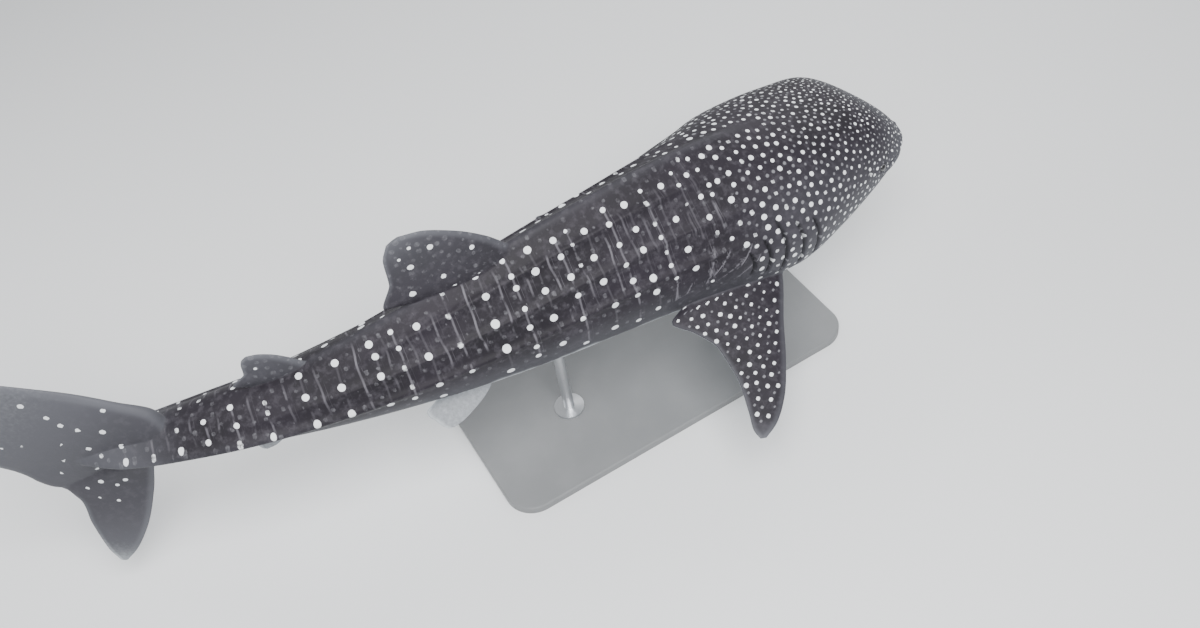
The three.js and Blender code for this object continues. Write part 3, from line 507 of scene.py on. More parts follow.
def bend(points):
    """Points of the straight animal, in percent, as points of the model in metres."""
    x, y = bend_flat(points[..., 0], points[..., 1])
    return np.stack([
        (x - CENTRE[0]) * PERCENT,
        (y - CENTRE[1]) * PERCENT,
        points[..., 2] * PERCENT + AXIS_HEIGHT,
    ], -1)


# The body.

def capped(station, length, power):
    left = np.clip(1 - station / length, 0, 1)
    return (1 - left**power) ** (1 / power)


def section_at(station):
    station = np.asarray(station, float)
    level = curve(WIDEST_LEVEL, station)
    blunt = capped(station, NOSE_HEIGHT_LENGTH, NOSE_HEIGHT_POWER)
    return {
        "level": level,
        "half_width": curve(HALF_WIDTH, station) * capped(station, NOSE_WIDTH_LENGTH, NOSE_WIDTH_POWER),
        "above": (curve(TOP, station) - level) * blunt,
        "below": (level - curve(BOTTOM, station)) * blunt,
        "full_above": curve(FULLNESS_ABOVE, station),
        "full_below": curve(FULLNESS_BELOW, station),
    }


def nearer_half(section, up):
    """How tall and how full the section is, above or below its widest level."""
    tall = np.where(up, section["above"], section["below"])
    return tall, np.where(up, section["full_above"], section["full_below"])


def section_point(section, angle):
    """The side and height at an angle round the section, in degrees: 90 is the back."""
    turn = np.radians(angle)
    tall, full = nearer_half(section, np.asarray(angle) >= 0)
    sin = np.sin(turn)
    side = section["half_width"] * np.clip(np.cos(turn), 0, 1) ** (2 / full)
    return side, section["level"] + np.sign(sin) * tall * np.abs(sin) ** (2 / full)


def flank_at(station, height):
    """How far the flank reaches to the side at a station and height."""
    section = section_at(station)
    tall, full = nearer_half(section, height >= section["level"])
    reach = np.clip(np.abs(height - section["level"]) / tall, 0, 1)
    return section["half_width"] * (1 - reach**full) ** (1 / full)


def rim_at(turn):
    """The rim of the head at a turn from straight ahead, in degrees: its station and side."""
    angle = np.radians(turn)
    power = 2 / NOSE_WIDTH_POWER
    station = NOSE_WIDTH_LENGTH * (1 - np.abs(np.cos(angle)) ** power)
    share = np.sign(angle) * np.abs(np.sin(angle)) ** power
    return station, curve(HALF_WIDTH, station) * share


def body_stations():
    """Rings that crowd towards the tip of the nose, then even steps to the end of the body."""
    share = (np.arange(1, NOSE_RINGS + 1) / NOSE_RINGS) ** NOSE_CROWDING * math.pi / 2
    nose = NOSE_WIDTH_LENGTH * (1 - np.cos(share) ** (2 / NOSE_WIDTH_POWER))
    nose = nose[nose < NOSE_WIDTH_LENGTH - NOSE_GAP_STEPS * STATION_STEP]
    count = round((BODY_END - nose[-1]) / STATION_STEP)
    return np.concatenate([nose, np.linspace(nose[-1], BODY_END, count + 1)[1:]])


def body_grid():
    """The plain body: rings of (station, side, height) with points spread evenly round each."""
    stations = body_stations()
    fine = np.linspace(-90, 90, SECTION_SAMPLES)
    half = RING_POINTS // 2
    rings = np.zeros((len(stations), RING_POINTS, 3))
    for i, station in enumerate(stations):
        side, height = section_point(section_at(station), fine)
        step = np.hypot(np.diff(side), np.diff(height))
        above_mouth = (height[1:] + height[:-1]) / 2 - curve(WIDEST_LEVEL, station)
        extra = MOUTH_DETAIL["extra"] * bump(above_mouth, MOUTH_DETAIL["height"])
        extra *= 1 - smooth(*MOUTH_DETAIL["fades"], station)
        length = np.concatenate([[0], np.cumsum(step * (1 + extra))])
        even = np.linspace(0, length[-1], half + 1)
        left_side = np.interp(even, length, side)
        left_height = np.interp(even, length, height)
        rings[i, :, 0] = station
        rings[i, : half + 1, 1] = left_side
        rings[i, : half + 1, 2] = left_height
        rings[i, half + 1:, 1] = -left_side[1:-1][::-1]
        rings[i, half + 1:, 2] = left_height[1:-1][::-1]
    return rings


def grid_normals(rings):
    along = np.gradient(rings, axis=0)
    padded = np.concatenate([rings[:, -1:], rings, rings[:, :1]], 1)
    around = (padded[:, 2:] - padded[:, :-2]) / 2
    normal = np.cross(around, along)
    normal /= np.linalg.norm(normal, axis=2, keepdims=True) + 1e-12
    outward = np.sign(np.sum(normal[len(rings) // 2] * (rings[len(rings) // 2] * [0, 1, 1])))
    return normal * outward


def ridge_lift(rings):
    station = rings[:, :1, 0]
    section = section_at(station)
    side = np.abs(rings[..., 1])
    height = rings[..., 2]
    lift = np.zeros(side.shape)
    for ridge in RIDGES:
        ridge_side, ridge_height = section_point(section, curve(ridge["angle"], station))
        distance = np.hypot(side - ridge_side, height - ridge_height)
        lift += curve(ridge["lift"], station) / (1 + (distance / ridge["width"]) ** 2) ** RIDGE_FALLOFF
    back = np.hypot(side, height - curve(TOP, station))
    return lift + curve(BACK_RIDGE["lift"], station) * bump(back, BACK_RIDGE["width"])


def gill_slit(slit, station, height, beyond):
    """How far behind a gill slit each point lies, and how fully it is level with the slit."""
    middle, low, high = slit
    share = np.clip((height - low) / (high - low), 0, 1)
    behind = station - middle - GILL["bow"] * (1 - np.sin(np.pi * share))
    over_foot = smooth(low - beyond, low + GILL["fade"], height)
    over_top = smooth(high - GILL["fade"], high + beyond, height)
    return behind, over_foot * (1 - over_top)


def gill_relief(station, side, height):
    relief = np.zeros(station.shape)
    for slit in GILL_SLITS:
        behind, level = gill_slit(slit, station, height, GILL["beyond"])
        ahead_part = np.exp(behind / GILL["flap_ahead"])
        flap = np.where(behind < 0, ahead_part, np.exp(-behind / GILL["flap_behind"]))
        flap *= smooth(*GILL["flap_starts"], behind)
        groove = bump(behind - GILL["set_back"], GILL["width"])
        relief += level * (GILL["flap_lift"] * flap - GILL["depth"] * groove)
    return relief * (np.abs(side) > GILL["least_side"])


def painted_shade_lines(rings):
    """Painted shade: a dark colour laid inside the gill slits and along the line of the mouth, where shade
    falls.
    """
    station, side, height = np.moveaxis(rings, -1, 0)
    dark = np.zeros(station.shape)
    for slit in GILL_SLITS:
        behind, level = gill_slit(slit, station, height, 0)
        line = level * bump(behind - GILL["set_back"], GILL["painted_shade_width"])
        dark = np.maximum(dark, line * (np.abs(side) > GILL["least_side"]))
    mouth = bump(height - curve(WIDEST_LEVEL, station), MOUTH["painted_shade_width"])
    return np.maximum(dark, mouth * (1 - smooth(*MOUTH["painted_shade_ends"], station)))


def forms_at(distance, forms):
    """The relief of rounded ridges and grooves at a distance from their common middle."""
    return sum(lift * bump(distance - place, width) for place, lift, width in forms)


def mouth_relief(station, height):
    """The lips, the line of the mouth between them, and the fold over the upper lip."""
    above = height - curve(WIDEST_LEVEL, station)
    return (1 - smooth(*MOUTH["ends"], station)) * forms_at(above, MOUTH["forms"])


def nostril_relief(points, hand):
    """A nostril on the rim of the head, with its barbel below."""
    rim_station, rim_side = rim_at(NOSTRIL["turn"])
    level = curve(WIDEST_LEVEL, rim_station)
    offset = points - [rim_station, hand * rim_side, level + NOSTRIL["above"]]
    ahead, aside, above = np.moveaxis(offset, -1, 0)
    across = aside * NOSTRIL["slant"][0] + hand * ahead * NOSTRIL["slant"][1]
    groove = bump(across, NOSTRIL["size"][0]) * bump(above, NOSTRIL["size"][1])
    barbel = bump(across + hand * BARBEL["aside"], BARBEL["size"][0])
    barbel *= bump(above + BARBEL["below"], BARBEL["size"][1])
    near = np.abs(ahead) < NOSTRIL["reach"]
    return (BARBEL["lift"] * barbel - NOSTRIL["depth"] * groove) * near


def face_relief(points):
    """Nostrils, nasal barbels, eye rims and spiracles."""
    relief = np.zeros(points.shape[:-1])
    for hand in (1, -1):
        relief += nostril_relief(points, hand)
        for place in (EYE, SPIRACLE):
            side = hand * flank_at(place["station"], place["height"])
            away = np.linalg.norm(points - [place["station"], side, place["height"]], axis=-1)
            depth, floor, edge = place["hole"]
            relief += forms_at(away, place["forms"]) - depth * (1 - smooth(floor, edge, away))
    return relief


def make_mesh(name, vertices, faces):
    mesh = bpy.data.meshes.new(name)
    mesh.from_pydata(vertices.tolist(), [], faces)
    mesh.validate()
    thing = bpy.data.objects.new(name, mesh)
    bpy.context.scene.collection.objects.link(thing)
    return thing


def read(items, key, width=1, kind=np.int32):
    """One property of a mesh's points, edges, corners or faces, as an array."""
    values = np.zeros(len(items) * width, kind)
    items.foreach_get(key, values)
    return values if width == 1 else values.reshape(-1, width)


def signed_volume(mesh):
    mesh.calc_loop_triangles()
    corners = read(mesh.vertices, "co", 3, float)[read(mesh.loop_triangles, "vertices", 3)]
    return float(np.einsum("ij,ij->i", corners[:, 0], np.cross(corners[:, 1], corners[:, 2])).sum())


def loft(name, rings, looks):
    """A closed mesh through rings of equal count, with a fan at each end and its looks by point."""
    ring_count, count = rings.shape[:2]
    index = np.arange(ring_count * count).reshape(ring_count, count)
    following = np.roll(index, -1, axis=1)
    quads = np.stack([index[:-1], following[:-1], following[1:], index[1:]], -1).reshape(-1, 4)
    first = ring_count * count
    fans = [[first, int(b), int(a)] for a, b in zip(index[0], following[0])]
    fans += [[first + 1, int(a), int(b)] for a, b in zip(index[-1], following[-1])]
    vertices = np.concatenate([rings.reshape(-1, 3), rings[[0, -1]].mean(axis=1)])
    thing = make_mesh(name, vertices, quads.tolist() + fans)
    if signed_volume(thing.data) < 0:
        thing.data.flip_normals()
    for key in LOOKS:
        value = looks[key]
        ends = value[[0, -1]].mean(axis=1)
        set_look(thing.data, key, np.concatenate([value.reshape(-1), ends]))
    return thing


# Markings, as one number at each point of the skin.

def set_look(mesh, key, value):
    layer = mesh.attributes.get(key) or mesh.attributes.new(key, "FLOAT", "POINT")
    layer.data.foreach_set("value", value.astype(np.float32))


def scatter(points, spacing, rng, taken):
    """Seeded picks from points that keep their own spacing from each other, and from taken ones."""
    cell = float(spacing.max())
    cells = {}

    def clear_of(point, reach):
        x, y, z = (int(c // cell) for c in point)
        near = (
            other
            for i in (x - 1, x, x + 1) for j in (y - 1, y, y + 1) for k in (z - 1, z, z + 1)
            for other in cells.get((i, j, k), ())
        )
        return all(math.dist(point, other) > reach for other in near)

    def put(point):
        cells.setdefault(tuple(int(c // cell) for c in point), []).append(point)

    for point in taken.tolist():
        put(point)
    picked = []
    for i in rng.permutation(len(points))[:SCATTER_TRIES].tolist():
        point = points[i].tolist()
        if clear_of(point, float(spacing[i])):
            put(point)
            picked.append(i)
    return np.array(picked, int)


def stamp(points, centres, radii, peaks=1):
    """How far inside the nearest spot each point is: 0 well outside, 0.5 at its edge, 1 inside.

    A spot whose peak is under 1 stays weaker than that at its middle too.
    """
    field = np.zeros(len(points))
    peaks = np.broadcast_to(peaks, len(radii))
    order = np.argsort(points[:, 0])
    station = points[order, 0]
    for centre, radius, peak in zip(centres, radii, peaks):
        reach = radius + SPOT_SOFT
        first, last = np.searchsorted(station, (centre[0] - reach, centre[0] + reach))
        near = order[first:last]
        distance = np.linalg.norm(points[near] - centre, axis=1)
        inside = np.minimum(peak, 0.5 + 0.5 * (radius - distance) / SPOT_SOFT)
        field[near] = np.maximum(field[near], inside)
    return np.clip(field, 0, 1)


def girth_of(rings):
    """How far each point of the body lies down the flank from the midline of the back."""
    half = RING_POINTS // 2
    left = rings[:, : half + 1]
    step = np.linalg.norm(np.diff(left[:, ::-1, 1:], axis=1), axis=2)
    down = np.concatenate([np.zeros((len(rings), 1)), np.cumsum(step, axis=1)], 1)[:, ::-1]
    return np.concatenate([down, down[:, 1:-1][:, ::-1]], 1)


def waves(place, terms):
    """A sum of sine waves, each given as its size, its pace and its start."""
    return sum(size * np.sin(place * pace + start) for size, pace, start in terms)


def wander(depth, phase):
    """How far a column or bar strays from its station on the way down the flank."""
    return waves(depth, [(size, pace, phase * turn) for size, pace, turn in WANDER])


def trunk_spots(rings, girth, rng):
    """The columns of spots on both flanks. The left flank has its own small differences."""
    half = RING_POINTS // 2
    stations = rings[:, 0, 0]
    centres = []
    radii = []
    for left in (False, True):
        for number, (station, radius, depths) in enumerate(SPOT_COLUMNS):
            for depth in depths:
                place = depth + (rng.normal(0, LEFT_SHIFT["depth"]) if left else 0)
                shift = rng.normal(0, LEFT_SHIFT["station"] if left else RIGHT_SHIFT)
                at = station + COLUMN_STRAY * wander(depth, number * COLUMN_PHASE + left) + shift
                ring = int(np.clip(np.searchsorted(stations, at), 0, len(stations) - 1))
                column = int(np.argmin(np.abs(girth[ring, : half + 1] - place)))
                centres.append(rings[ring, column if left else (RING_POINTS - column) % RING_POINTS])
                radii.append(radius * rng.uniform(*TRUNK_SIZES))
    return np.array(centres), np.array(radii)


def two_sizes(points, spacing, rng, taken):
    """Bright spots with dim small ones scattered between them: picks of both."""
    bright = scatter(points, spacing, rng, taken)
    dim = scatter(points, spacing * DIM_SPACING, rng, np.concatenate([taken, points[bright]]))
    return bright, dim


def head_spots(points, girth, trunk_centres, rng):
    """Small dense spots on the head, closest on the snout and widest over the gills."""
    plain_ridge = (girth < PLAIN_RIDGE["depth"]) & (points[:, 0] > PLAIN_RIDGE["from"])
    deep = girth > curve(BELLY_DEPTH, points[:, 0]) + HEAD_BELLY_MARGIN
    inside = points[(points[:, 0] < HEAD_END) & ~plain_ridge & ~deep]
    spacing = curve(HEAD_SPACING, inside[:, 0])
    bright, dim = two_sizes(inside, spacing, rng, trunk_centres)
    bright_radii = spacing[bright] * BRIGHT_SHARE * rng.uniform(*BRIGHT_SIZES, len(bright))
    dim_radii = spacing[dim] * DIM_SHARE * rng.uniform(*DIM_SIZES, len(dim))
    return inside[bright], bright_radii, inside[dim], dim_radii


def trunk_bars(station, girth, hand):
    """How far each point lies from its nearest pale bar, in percent, and how strong that bar is."""
    offset = np.full(station.shape, BAR_REACH)
    strength = np.zeros(station.shape)

    def draw(line, first, last, share):
        off = station - line
        nearer = np.abs(off) < np.abs(offset)
        started = smooth(first - BAR_TOP[0], first + BAR_TOP[1], girth)
        ended = smooth(last - BAR_FOOT[0], last + BAR_FOOT[1], girth)
        offset[nearer] = off[nearer]
        strength[nearer] = (share * (started * (1 - ended)))[nearer]

    for number, (middle, radius, depths) in enumerate(SPOT_COLUMNS):
        line = middle + COLUMN_STRAY * wander(girth, number * COLUMN_PHASE + hand)
        size = "small_spots" if radius < COLUMN_BAR["large_from"] else "large_spots"
        share = COLUMN_BAR[size] * float(smooth(*COLUMN_BAR["starts"], middle))
        draw(line, depths[0], depths[-1], share)
    for number, (middle, first, last, share) in enumerate(PALE_BARS):
        beat = np.sin(girth * BAR_UNEVEN["pace"] + number * BAR_UNEVEN["turn"] + hand)
        uneven = 1 - BAR_UNEVEN["size"] + BAR_UNEVEN["size"] * beat
        draw(middle + wander(girth, number * BAR_UNEVEN["phase"] + hand), first, last, share * uneven)
    for start, start_depth, end, end_depth in STREAKS:
        share = np.clip((girth - start_depth) / (end_depth - start_depth), 0, 1)
        past = np.maximum(0, np.maximum(start_depth - girth, girth - end_depth))
        pushed = (1 - bump(past, STREAK["edge"])) * STREAK["pushed"]
        line = start + (end - start) * share ** STREAK["bow"] + pushed
        draw(line, start_depth, end_depth + STREAK["extra"], 1)
    return offset, strength * (1 - smooth(BAR_REACH * BAR_FADES, BAR_REACH, np.abs(offset)))


def smudges(rings, girth, rng):
    """Faint pale smudges between the spots of the trunk."""
    points = rings.reshape(-1, 3)
    lowest = curve(BELLY_DEPTH, points[:, 0]) - SMUDGE_ABOVE_BELLY
    inside = points[(girth.reshape(-1) < lowest) & (points[:, 0] > HEAD_END)]
    picked = scatter(inside, np.full(len(inside), SMUDGE_SPACING), rng, NONE_TAKEN)
    return inside[picked], rng.uniform(*SMUDGE_RADII, len(picked))


def body_tone(station, girth, belly_depth):
    """How grey each point of the body is."""
    snout = GREY_SNOUT["share"] * (1 - smooth(*GREY_SNOUT["ends"], station))
    back = GREY_BACK["share"] * bump(girth, GREY_BACK["width"])
    back *= smooth(*GREY_BACK["starts"], station)
    back *= 1 - smooth(*GREY_BACK["ends"], station)
    flank = GREY_FLANK["share"] * smooth(*GREY_FLANK["starts"], girth / belly_depth)
    gills = GREY_GILLS["share"] * (1 - smooth(*GREY_GILLS["ends"], station))
    gills *= smooth(*GREY_GILLS["starts"], girth)
    tail = GREY_TAIL["share"] * smooth(*GREY_TAIL["starts"], station)
    return np.clip(snout + back + flank + gills + tail, 0, 1)


def body_looks(rings, rng):
    girth = girth_of(rings)
    points = rings.reshape(-1, 3)
    station = rings[..., 0]
    trunk_centres, trunk_radii = trunk_spots(rings, girth, rng)
    bright, bright_radii, dim, dim_radii = head_spots(points, girth.reshape(-1), trunk_centres, rng)
    smudge, smudge_radii = smudges(rings, girth, rng)
    radii = np.concatenate([trunk_radii, bright_radii])
    dull = rng.uniform(size=len(radii)) < curve(DULL_SHARE, radii)
    peaks = np.where(dull, DULL_PEAK, 1)
    spots = stamp(points, np.concatenate([trunk_centres, bright]), radii, peaks)
    faint = np.maximum(stamp(points, dim, dim_radii), stamp(points, smudge, smudge_radii, SMUDGE_PEAK))
    depth = curve(BELLY_DEPTH, station)
    offset, strength = trunk_bars(station, girth, (rings[..., 1] > 0).astype(float))
    ruffled = girth + waves(station, BELLY_RUFFLE)
    return {
        "spots": spots.reshape(station.shape),
        "faint": faint.reshape(station.shape),
        "bar_offset": offset,
        "bars": strength,
        "belly": smooth(depth - BELLY_EDGE[0], depth + BELLY_EDGE[1], ruffled),
        "tone": body_tone(station, girth, depth),
        # Painted shade in the gill slits and along the line of the mouth.
        "dark": painted_shade_lines(rings),
    }


def make_body(rng):
    rings = body_grid()
    lift = ridge_lift(rings)
    lift += gill_relief(rings[..., 0], rings[..., 1], rings[..., 2])
    lift += mouth_relief(rings[..., 0], rings[..., 2])
    face = rings[:, 0, 0] < FACE_END
    lift[face] += face_relief(rings[face])
    raised = rings + grid_normals(rings) * lift[..., None]
    return loft("skin", bend(raised), body_looks(rings, rng))


# The fins.

def foil(share):
    """The shape of the thickness along the chord: round in front and fine behind."""
    return FOIL_SCALE * np.sqrt(share) * (1 - share) ** FOIL_REAR_POWER


def on_midline(station, reach, offset):
    return np.stack([station, offset, reach], -1)


def on_tail(station, reach, offset):
    lean = np.minimum(0, reach) * LOWER_LOBE["lean"] * smooth(*LOWER_LOBE["starts"], station)
    return np.stack([station, offset + lean, reach], -1)


def on_side(root, hand, sweep=0):
    cos = math.cos(math.radians(root["droop"]))
    sin = math.sin(math.radians(root["droop"]))
    back = math.tan(math.radians(sweep))

    def place(station, reach, offset):
        return np.stack([
            station + np.maximum(0, reach) * back,
            hand * (root["side"] + reach * cos + offset * sin),
            root["height"] - reach * sin + offset * cos,
        ], -1)

    return place


def fin_spots(points, plan, clear, flat, rng):
    """The spots of one face of a fin: those listed, and the scattered ones."""
    spots = np.zeros(len(points))
    faint = np.zeros(len(points))
    if plan["spots"]:
        planar = np.stack([flat[:, 0], flat[:, 1], np.zeros(len(flat))], -1)
        centres = np.array([(station, reach, 0) for station, reach, _ in plan["spots"]])
        spots = stamp(planar, centres, [radius for _, _, radius in plan["spots"]])
    if "spacing" in plan:
        inside = np.flatnonzero(clear)
        spacing = np.full(len(inside), plan["spacing"])
        bright, dim = (inside[picked] for picked in two_sizes(points[inside], spacing, rng, NONE_TAKEN))
        size = plan["radius"] * rng.uniform(*FIN_BRIGHT_SIZES, len(bright))
        spots = stamp(points, points[bright], size)
        faint = stamp(points, points[dim], plan["radius"] * rng.uniform(*FIN_DIM_SIZES, len(dim)))
    if plan["smudges"]:
        picked = scatter(points, np.full(len(points), plan["smudges"]), rng, NONE_TAKEN)
        size = rng.uniform(*SMUDGE_RADII, len(picked))
        faint = np.maximum(faint, stamp(points, points[picked], size, SMUDGE_PEAK))
    return spots, faint


def fin_looks(kind, rings, flat, share, along, chord, rng):
    """The markings of a fin. Its first face is the upper or the left one."""
    shape = rings.shape[:2]
    half = shape[1] // 2
    plan = FIN_MARKS[kind]
    share = np.broadcast_to(share[:, None], shape)
    from_front = along[None] * chord[:, None]
    from_rear = chord[:, None] - from_front
    clear = (from_front > FIN_CLEAR["front"]) & (from_rear > FIN_CLEAR["rear"])
    clear &= share < plan.get("last", 1)
    spots = np.zeros(shape)
    faint = np.zeros(shape)
    for face in [slice(0, half)] + [slice(half, None)] * plan["both_faces"]:
        points = rings[:, face].reshape(-1, 3)
        found = fin_spots(points, plan, clear[:, face].ravel(), flat[:, face].reshape(-1, 2), rng)
        spots[:, face] = found[0].reshape(shape[0], -1)
        faint[:, face] = found[1].reshape(shape[0], -1)
    under = np.zeros(shape)
    under[:, half:] = 0 if plan["both_faces"] else FIN_UNDERSIDE
    rear_rim = 1 - smooth(*FIN_RIM["rear"], from_rear)
    front_rim = 1 - smooth(*FIN_RIM["front"], from_front)
    tone = curve(plan["tone"], share) + FIN_RIM["grey"] * np.maximum(rear_rim, front_rim)
    pale = curve(plan["belly"], share) + FIN_RIM["pale"] * rear_rim
    return {
        "spots": spots,
        "faint": faint,
        "bar_offset": np.full(shape, BAR_REACH),
        "bars": np.zeros(shape),
        "belly": np.maximum(under, pale),
        "tone": np.clip(tone, 0, 1),
        "dark": np.zeros(shape),
    }


def make_fin(name, kind, place, rng):
    shape = FINS[kind]
    share = np.linspace(0, 1, FIN_SPAN_STEPS + 1)
    along = 1 - np.cos(np.linspace(0, math.pi / 2, FIN_CHORD_STEPS + 1))
    front, rear = (
        np.stack([curve([(k[0], k[1]) for k in shape[edge]], share),
                  curve([(k[0], k[2]) for k in shape[edge]], share)], -1)
        for edge in ("leading", "trailing")
    )
    flat = front[:, None] + (rear - front)[:, None] * along[None, :, None]
    flare = 1 + FIN_FLARE["extra"] * bump(share, shape["root"] * FIN_FLARE["reach"])
    half = FIN_EDGE / 2 + (curve(shape["thickness"], share) / 2 * flare)[:, None] * foil(along)[None]
    upper = place(flat[..., 0], flat[..., 1], half)
    lower = place(flat[..., 0], flat[..., 1], -half)
    rings = np.concatenate([upper, lower[:, ::-1]], 1)
    both = np.concatenate([flat, flat[:, ::-1]], 1)
    chord = np.linalg.norm(rear - front, axis=1)
    looks = fin_looks(kind, rings, both, share, np.concatenate([along, along[::-1]]), chord, rng)
    return loft(name, bend(rings), looks)


def make_fins(rng):
    ways = [(name, name, on_midline) for name in ("first_dorsal_fin", "second_dorsal_fin", "anal_fin")]
    ways += [(name, name, on_tail) for name in ("caudal_fin_upper", "caudal_fin_lower")]
    for kind, root in PAIRED_ROOTS.items():
        ways.append((kind + "_left", kind, on_side(root, 1, root["left_sweep"])))
        ways.append((kind + "_right", kind, on_side(root, -1)))
    return [make_fin(name, kind, way, rng) for name, kind, way in ways]


# One skin from the body and its fins.

def tag_part(thing, number):
    layer = thing.data.attributes.new("part", "INT", "FACE")
    layer.data.foreach_set("value", np.full(len(thing.data.polygons), number, np.int32))


def join_to(body, piece):
    """Adds a closed piece to a closed body, so that the two share one surface."""
    change = body.modifiers.new("join", "BOOLEAN")
    change.operation = "UNION"
    change.solver = "MANIFOLD"
    change.object = piece
    bpy.context.view_layer.objects.active = body
    body.select_set(True)
    bpy.ops.object.modifier_apply(modifier=change.name)
    bpy.data.objects.remove(piece)


def find_seam(mesh):
    """Whether each point lies where the faces of two parts meet."""
    part = read(mesh.attributes["part"].data, "value")
    corner_vertex = read(mesh.loops, "vertex_index")
    corner_part = np.repeat(part, read(mesh.polygons, "loop_total"))
    lowest = np.full(len(mesh.vertices), part.max() + 1)
    highest = np.full(len(mesh.vertices), -1)
    np.minimum.at(lowest, corner_vertex, corner_part)
    np.maximum.at(highest, corner_vertex, corner_part)
    return lowest != highest


def neighbour_sum(value, edges):
    """The sum of a value over the neighbours of each point."""
    total = np.zeros(value.shape)
    np.add.at(total, edges[:, 0], value[edges[:, 1]])
    np.add.at(total, edges[:, 1], value[edges[:, 0]])
    return total


def even_looks(mesh, seam, edges):
    """Gives the points of the seam the looks of their neighbours."""
    looks = {key: read(mesh.attributes[key].data, "value", kind=np.float32) for key in LOOKS}
    known = (~seam).astype(float)
    for _ in range(SEAM_PASSES):
        weight = neighbour_sum(known, edges)
        fill = seam & (weight > 0)
        for value in looks.values():
            total = neighbour_sum(value * known, edges)
            value[fill] = (total[fill] / weight[fill]).astype(np.float32)
        known[fill] = 1
    for key, value in looks.items():
        set_look(mesh, key, value)


def soften_joins(skin):
    """Rounds the crease where a fin leaves the body, and evens the looks across it."""
    mesh = skin.data
    seam = find_seam(mesh)
    edges = read(mesh.edges, "vertices", 2)
    even_looks(mesh, seam, edges)
    near = seam.astype(float)
    for _ in range(FILLET_RINGS):
        spread = near.copy()
        np.maximum.at(spread, edges[:, 0], near[edges[:, 1]] - 1 / FILLET_RINGS)
        np.maximum.at(spread, edges[:, 1], near[edges[:, 0]] - 1 / FILLET_RINGS)
        near = spread
    near = np.clip(near, 0, 1)[:, None]
    places = read(mesh.vertices, "co", 3, float)
    degree = np.bincount(edges.reshape(-1), minlength=len(places))[:, None]
    for _ in range(FILLET_PASSES):
        places += FILLET_PULL * near * (neighbour_sum(places, edges) / degree - places)
    mesh.vertices.foreach_set("co", places.reshape(-1))
    mesh.update()


def make_skin():
    rng = np.random.default_rng(SEED)
    skin = make_body(rng)
    tag_part(skin, 0)
    for number, piece in enumerate(make_fins(rng), 1):
        tag_part(piece, number)
        join_to(skin, piece)
    soften_joins(skin)
    skin.data.shade_smooth()
    return skin


# Materials.

class Nodes:
    """A small helper that makes and links the nodes of one material."""

    def __init__(self, name):
        self.material = bpy.data.materials.new(name)
        self.material.use_nodes = True
        self.tree = self.material.node_tree
        self.shader = self.tree.nodes["Principled BSDF"]

    def feed(self, socket, value):
        """Gives a socket a number, a colour or scale, or the output of another node."""
        if isinstance(value, tuple):
            socket.default_value = (*value, 1)[: len(socket.default_value)]
        elif isinstance(value, (int, float)):
            socket.default_value = value
        else:
            self.tree.links.new(value, socket)

    def add(self, kind, inputs, output=0, **settings):
        """Makes a node, feeds its inputs and returns one of its outputs."""
        node = self.tree.nodes.new(kind)
        for key, value in settings.items():
            setattr(node, key, value)
        for key, value in inputs.items():
            self.feed(node.inputs[key], value)
        return node.outputs[output]

    def shade(self, name, value):
        self.feed(self.shader.inputs[name], value)

    def look(self, name):
        return self.add("ShaderNodeAttribute", {}, "Fac", attribute_name=name)

    def noise(self, scale, detail, rough, stretch=None):
        place = self.add("ShaderNodeTexCoord", {}, "Object")
        if stretch:
            place = self.add("ShaderNodeMapping", {"Vector": place, "Scale": stretch})
        inputs = {"Vector": place, "Scale": scale, "Detail": detail, "Roughness": rough}
        return self.add("ShaderNodeTexNoise", inputs)

    def maths(self, operation, *values, clamp=False):
        inputs = dict(enumerate(values))
        return self.add("ShaderNodeMath", inputs, operation=operation, use_clamp=clamp)

    def times(self, first, second):
        return self.maths("MULTIPLY", first, second)

    def plus(self, first, second):
        return self.maths("ADD", first, second)

    def step(self, value, low, high):
        inputs = {"Value": value, "From Min": low, "From Max": high}
        return self.add("ShaderNodeMapRange", inputs, interpolation_type="SMOOTHSTEP")

    def mix(self, share, first, second):
        return self.add("ShaderNodeMix", {0: share, 6: first, 7: second}, 2, data_type="RGBA")

    def roughen(self, pattern, least, extent):
        self.shade("Roughness", self.plus(self.times(pattern, extent), least))

    def raise_by(self, height, distance, strength):
        inputs = {"Height": height, "Distance": distance, "Strength": strength}
        self.shade("Normal", self.add("ShaderNodeBump", inputs))


def bar_share(nodes, wobble):
    """How much of the bars' colour shows: thin lines with uneven edges, broken up here and there."""
    finish = SKIN_FINISH
    strayed = nodes.plus(nodes.look("bar_offset"), nodes.times(wobble, finish["bar_wobble"]))
    outside = nodes.step(nodes.maths("ABSOLUTE", strayed), *finish["bar_edge"])
    breaks = nodes.step(nodes.noise(*finish["breaks"]), *finish["break_edge"])
    broken = nodes.times(nodes.maths("SUBTRACT", 1.0, outside), breaks)
    return nodes.maths("MULTIPLY", broken, nodes.look("bars"), clamp=True)


